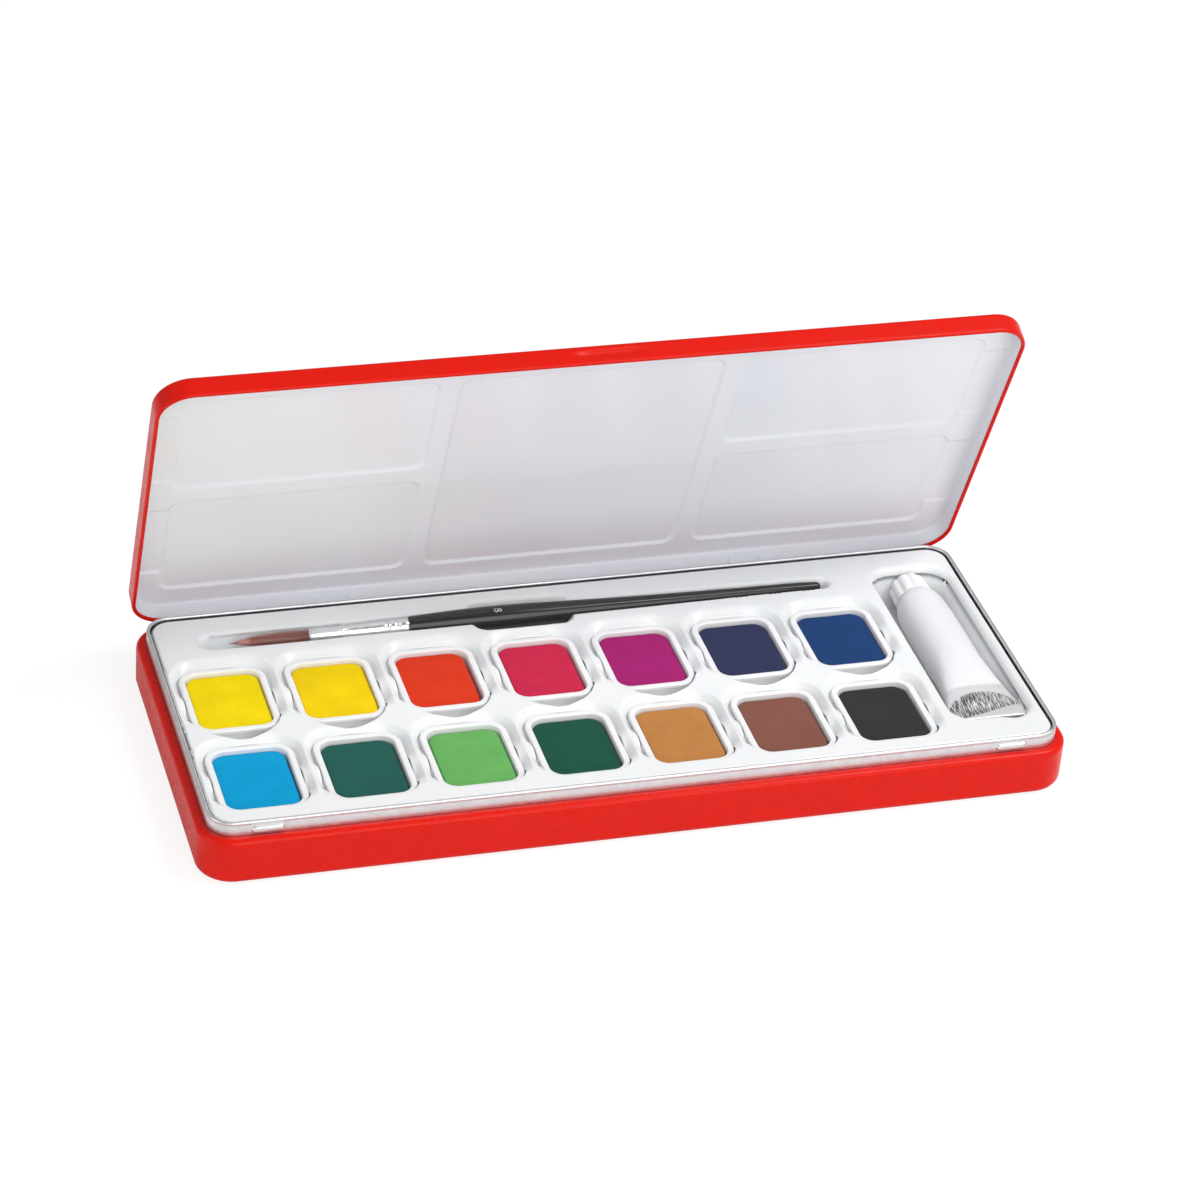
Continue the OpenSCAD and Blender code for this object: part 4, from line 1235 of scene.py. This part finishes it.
def tube_metal(name, shade, border, fold, middle, width):
    """White lacquer that gives way to bare, creased metal where the tube is flattened.

    border and fold are the places along Y, in millimetres, where the lacquer ends and the tail is
    folded; middle and width place the fan of creases between them, where near-black and bright
    streaks are painted into the colour as painted shade and painted reflections of the creases.
    """
    f = Finish(name)
    split = f.node("ShaderNodeSeparateXYZ", {"Vector": f.place})
    x, y = split.outputs[0], split.outputs[1]
    streaks = f.noise(3800, 3.0, 0.7, stretch=(1, 0.07, 0.3), distortion=0.3)
    crumple = f.noise(260, 4.0, 0.6)
    across = f.ramp(x, (middle - width) * MM, (middle + width) * MM, -1.0, 1.0)
    up = f.ramp(y, (fold + 1.0) * MM, (fold + 9.2) * MM, 0.0, 1.0)
    oval = f.maths("ADD", f.maths("MULTIPLY", across, across), f.maths("MULTIPLY", up, up))
    slant = f.maths("ADD", y, f.maths("MULTIPLY", across, -0.26 * width * MM))
    flap = f.maths("LESS_THAN", slant, fold * MM)
    bare = f.maths("LESS_THAN", y, border * MM)
    fan = f.maths("MULTIPLY", f.ramp(oval, 0.92, 1.0, 1.0, 0.0), f.maths("SUBTRACT", 1.0, flap))
    # painted shade and painted reflections: near-black and bright streaks in the creased fan
    painted_streaks = f.mix(f.ramp(streaks, 0.44, 0.60, 0.0, 1.0), (0.05, 0.05, 0.055), (0.86, 0.86, 0.87))
    metal = f.mix(fan, (0.74, 0.745, 0.75), painted_streaks)
    relief = f.bump(crumple, 0.12, 0.0005, f.bump(streaks, f.maths("MULTIPLY", fan, 0.4), 0.0001))
    return f.done(Base_Color=f.mix(bare, shade, metal), Metallic=f.maths("MULTIPLY", bare, 0.5),
                  Roughness=f.ramp(bare, 0.0, 1.0, 0.34, 0.42), Normal=relief)


TUBE_SHOULDER = (  # distance from the neck towards the cap, and radius, of the nozzle and shoulder
    (6.0, 2.2), (6.4, 2.4), (6.4, 3.8), (6.2, 3.92), (0.0, 3.92), (-0.05, 5.0), (-0.3, 5.9), (-0.8, 6.35),
    (-1.4, 6.7), (-2.4, 7.3), (-4.0, 7.68), (-5.7, 7.92), (-8.6, 8.12),
)
TUBE_FOLD = (  # distance past the start of the fold, and how much thicker the tail is there
    (0.1, 0.12), (0.5, 0.16), (2.4, 0.1), (4.4, 0.12), (4.9, -0.02), (5.0, -0.25),
)
SHOULDER_LENGTH, FLAT_LENGTH, FOLD_LENGTH = 13.6, 29.0, 5.0
TAIL_RISE, TAIL_HALF = 2.8, 0.6
BARE_LENGTH, FLAP_DROP, FAN_WIDTH = 9.8, 2.2, 12.0
TUBE_STEPS, TUBE_BENDS, CAP_STEPS = 72, 22, 10
CAP_PROFILE = (  # share of the cap's length from its mouth, radius, and share of a full flute
    (0.0, 5.9, 0.0), (0.015, 6.2, 0.5), (0.06, 6.42, 0.8), (0.2, 6.4, 1.0), (0.5, 6.3, 1.0),
    (0.8, 6.18, 1.0), (0.93, 6.1, 0.9), (0.975, 5.95, 0.6), (1.0, 5.55, 0.2), (1.0, 4.9, 0.0),
    (0.985, 4.7, 0.0), (0.985, 1.0, 0.0),
)
CAP_BORE, FLUTE_DEPTH = 4.0, 1.05


class PAINTSET_OT_tube(bpy.types.Operator):
    """Paint tube with its shoulder, flattened and folded tail, and fluted cap"""
    bl_idname = "paint_set.tube"
    bl_label = "Tube"

    def execute(self, context):
        s = settings("tube")
        self.body(s)
        self.cap(s)
        return {"FINISHED"}

    def body(self, s):
        """The tube from its nozzle over the shoulder to the folded tail."""
        low, high = node_box("tube_body")
        cap_low, cap_high = node_box("tube_cap")
        cx, cz = (cap_low[0] + cap_high[0]) / 2, (cap_low[2] + cap_high[2]) / 2
        r = cz - low[2]
        neck_y = cap_low[1] - 0.4
        round_y = neck_y - SHOULDER_LENGTH
        tail_y = low[1] + FOLD_LENGTH
        tail_x, tail_half = (low[0] + high[0]) / 2, (high[0] - low[0]) / 2
        tail_z, tail_t = cz + TAIL_RISE, TAIL_HALF
        flat_y = tail_y + FLAT_LENGTH
        rings = []

        def ring(y, half_w, half_t, z, dent=0.0, square=2.0, cx=cx):
            out = []
            for k in range(TUBE_STEPS):
                a = 2 * math.pi * k / TUBE_STEPS
                c, q = math.cos(a), math.sin(a)
                x = half_w * math.copysign(abs(c) ** (2 / square), c)
                h = half_t * math.copysign(abs(q) ** (2 / square), q)
                rough = dent * noise.noise(Vector((x * 0.22, y * 0.16, h * 0.2)))
                out.append((cx + x, y, z + h + rough))
            return out

        for along, radius in TUBE_SHOULDER:
            rings.append(ring(neck_y + along, radius, radius, cz))
        rings.append(ring(round_y, r - 0.04, r - 0.04, cz))
        for k in range(1, 9):
            rings.append(ring(round_y - (round_y - flat_y) * k / 8, r - 0.02, r - 0.02, cz, dent=0.12))
        for k in range(1, TUBE_BENDS + 1):
            t = k / TUBE_BENDS
            y = flat_y + (tail_y - flat_y) * t
            bend = float(smooth(t))
            half_w = r + (tail_half - r) * t ** 1.7
            half_t = r + (tail_t - r) * (t ** 1.15)
            z = cz + (tail_z - cz) * (t ** 1.1)
            rings.append(ring(y, half_w, half_t, z, 0.3 * (1 - t), 2.0 + 1.0 * bend, cx + (tail_x - cx) * t))
        for past, grow in TUBE_FOLD:
            half_w = tail_half - max(-grow, 0) * 0.4
            rings.append(ring(tail_y - past, half_w, tail_t - 0.14 + grow, tail_z, square=5.0, cx=tail_x))
        shape = Shape()
        shape.loft([list(reversed(q)) for q in rings], caps=(False, True))
        border, fold = tail_y + BARE_LENGTH, tail_y - FLAP_DROP
        skin = tube_metal("tube_skin", tuple(s.lacquer), border, fold, tail_x, FAN_WIDTH)
        shape.piece("tube_of_white", [skin], "tube", ["tube_body", "tube_paint"], sharp=60)

    def cap(self, s):
        """The cap, hollow, with scallops round its side."""
        low, high = node_box("tube_cap")
        cx, cz = (low[0] + high[0]) / 2, (low[2] + high[2]) / 2
        span = high[1] - low[1]
        count = s.flutes * CAP_STEPS
        angles = [2 * math.pi * k / count for k in range(count)]
        rings = [[(cx + CAP_BORE * math.cos(a), low[1] + deep, cz + CAP_BORE * math.sin(a)) for a in angles]
                 for deep in (6.4, 0.0)]
        for t, r, flute in CAP_PROFILE:
            ring = []
            for a in angles:
                scallop = abs(math.sin(a * s.flutes / 2 + math.pi / 4)) ** 0.7
                rr = r - FLUTE_DEPTH * flute * (1 - scallop)
                ring.append((cx + rr * math.cos(a), low[1] + t * span, cz + rr * math.sin(a)))
            rings.append(ring)
        shape = Shape()
        shape.loft([list(reversed(q)) for q in rings], caps=(True, True))
        white = moulded("cap_white", (0.84, 0.84, 0.84), 0.3)
        shape.piece("fluted_cap", [white], "cap", ["tube_cap"], sharp=50)


# ---- Stage ----

FLOOR_GLOW = 0.82
WORLD_LIGHT, WORLD_WHITE = 0.40, 1.0
CAMERA_LENS = 120.129
CAMERA_PLACE = (-323.20, -961.96, 711.84)  # in millimetres
LAMPS = (  # name, place in metres, size in metres and share of the set power
    ("key", (0.75, -0.2, 1.2), 0.6, 1.15),
    ("front", (0.1, -1.25, 0.75), 1.0, 0.9),
    ("side", (-1.35, -0.25, 0.45), 0.8, 0.4),
)


def backdrop_white():
    """Pale matt floor, nearly plain white where the camera sees it, with the object's shadow kept."""
    f = Finish("floor_pale")
    cloud = f.noise(3, 2.0, 0.5)
    tone = f.mix(f.ramp(cloud, 0.3, 0.7, 0.0, 1.0), (0.86, 0.86, 0.86), (0.87, 0.87, 0.87))
    matt = f.node("ShaderNodeBsdfPrincipled", {"Base Color": tone, "Roughness": 0.85})
    grey = f.mix(f.ramp(cloud, 0.3, 0.7, 0.0, 1.0), (0.22, 0.22, 0.22), (0.225, 0.225, 0.225))
    shade = f.node("ShaderNodeBsdfDiffuse", {"Color": grey})
    glow = f.node("ShaderNodeEmission", {"Color": (1, 1, 1, 1), "Strength": FLOOR_GLOW})
    both = f.node("ShaderNodeAddShader")
    f.tree.links.new(shade.outputs[0], both.inputs[0])
    f.tree.links.new(glow.outputs[0], both.inputs[1])
    seen = seen_directly(f.tree)
    mix = f.node("ShaderNodeMixShader", {0: seen, 1: matt.outputs[0], 2: both.outputs[0]})
    f.node("ShaderNodeOutputMaterial", {"Surface": mix.outputs[0]})
    return f.material


def seen_directly(tree):
    """Whether a ray comes from the camera, straight or through clear plastic."""
    path = tree.nodes.new("ShaderNodeLightPath")
    either = tree.nodes.new("ShaderNodeMath")
    either.operation = "MAXIMUM"
    tree.links.new(path.outputs["Is Camera Ray"], either.inputs[0])
    tree.links.new(path.outputs["Is Transmission Ray"], either.inputs[1])
    return either.outputs[0]


class PAINTSET_OT_stage(bpy.types.Operator):
    """Pale floor, soft lamps and the camera"""
    bl_idname = "paint_set.stage"
    bl_label = "Stage"

    def execute(self, context):
        s = settings("stage")
        scene = context.scene
        self.floor()
        self.lamps(s)
        self.world(scene)
        self.camera(scene, s)
        scene.view_settings.view_transform = "Standard"
        return {"FINISHED"}

    def floor(self):
        """A floor that reaches past every view."""
        mesh = bpy.data.meshes.new("floor")
        reach = 6.0
        corners = [(-reach, -reach, 0), (reach, -reach, 0), (reach, reach, 0), (-reach, reach, 0)]
        mesh.from_pydata(corners, [], [(0, 1, 2, 3)])
        mesh.materials.append(backdrop_white())
        obj = bpy.data.objects.new("floor", mesh)
        bpy.context.collection.objects.link(obj)

    def lamps(self, s):
        """Square lamps that all face the middle of the tin."""
        for name, place, size, share in LAMPS:
            lamp = bpy.data.lights.new(name, "AREA")
            lamp.energy, lamp.size = s.key * share, size
            obj = bpy.data.objects.new(name, lamp)
            obj.location = place
            aim = Vector((0, 0, 0.04)) - Vector(place)
            obj.rotation_euler = aim.to_track_quat("-Z", "Y").to_euler()
            bpy.context.collection.objects.link(obj)

    def world(self, scene):
        """Soft light for the object, and plain white for what is seen directly."""
        world = bpy.data.worlds.new("studio")
        world.use_nodes = True
        tree = world.node_tree
        tree.nodes.clear()
        shades = [tree.nodes.new("ShaderNodeBackground") for _ in range(2)]
        for shade, strength in zip(shades, (WORLD_LIGHT, WORLD_WHITE)):
            shade.inputs[0].default_value = (1, 1, 1, 1)
            shade.inputs[1].default_value = strength
        mix = tree.nodes.new("ShaderNodeMixShader")
        out = tree.nodes.new("ShaderNodeOutputWorld")
        tree.links.new(seen_directly(tree), mix.inputs[0])
        tree.links.new(shades[0].outputs[0], mix.inputs[1])
        tree.links.new(shades[1].outputs[0], mix.inputs[2])
        tree.links.new(mix.outputs[0], out.inputs[0])
        scene.world = world

    def camera(self, scene, s):
        """The photo's camera, found from the tin's straight edges."""
        a, e, roll = (math.radians(v) for v in (s.azimuth, s.elevation, s.roll))
        back = Vector((math.sin(a) * math.cos(e), -math.cos(a) * math.cos(e), math.sin(e)))
        right = Vector((0, 0, 1)).cross(back).normalized()
        up = back.cross(right)
        side = math.cos(roll) * right + math.sin(roll) * up
        top = -math.sin(roll) * right + math.cos(roll) * up
        data = bpy.data.cameras.new("camera")
        data.sensor_width, data.lens = 36.0, CAMERA_LENS
        data.clip_start, data.clip_end = 0.05, 30
        obj = bpy.data.objects.new("camera", data)
        turn = Matrix((side, top, back)).transposed().to_4x4()
        obj.matrix_world = Matrix.Translation(Vector(CAMERA_PLACE) * MM) @ turn
        bpy.context.collection.objects.link(obj)
        scene.camera = obj


# ---- Panel ----

OPERATORS = (
    PAINTSET_OT_lower_tin, PAINTSET_OT_neck, PAINTSET_OT_lid, PAINTSET_OT_hinges, PAINTSET_OT_tray,
    PAINTSET_OT_pans, PAINTSET_OT_paint, PAINTSET_OT_brush, PAINTSET_OT_tube, PAINTSET_OT_stage,
)


class PAINTSET_PT_panel(bpy.types.Panel):
    """Lists the pieces of the paint set and their sizes"""
    bl_idname = "PAINTSET_PT_panel"
    bl_label = "Paint Set"
    bl_space_type = "VIEW_3D"
    bl_region_type = "UI"
    bl_category = "Paint Set"

    def draw(self, context):
        for operator in OPERATORS:
            self.layout.operator(operator.bl_idname)
        for name, group in SETTINGS.items():
            box = self.layout.box()
            box.label(text=name.capitalize())
            for key in group.__annotations__:
                box.prop(settings(name), key)


def register():
    """Makes the settings, the operators and the panel known to Blender."""
    for group in SETTINGS.values():
        bpy.utils.register_class(group)
    for name, group in SETTINGS.items():
        setattr(bpy.types.Scene, "paint_set_" + name, PointerProperty(type=group))
    for operator in OPERATORS:
        bpy.utils.register_class(operator)
    bpy.utils.register_class(PAINTSET_PT_panel)


def unregister():
    """Takes the panel, the operators and the settings away again."""
    bpy.utils.unregister_class(PAINTSET_PT_panel)
    for operator in reversed(OPERATORS):
        bpy.utils.unregister_class(operator)
    for name in SETTINGS:
        delattr(bpy.types.Scene, "paint_set_" + name)
    for group in reversed(list(SETTINGS.values())):
        bpy.utils.unregister_class(group)


def main():
    """Makes every piece."""
    register()
    for operator in OPERATORS:
        group, name = operator.bl_idname.split(".")
        getattr(getattr(bpy.ops, group), name)()


if __name__ == "__main__":
    main()
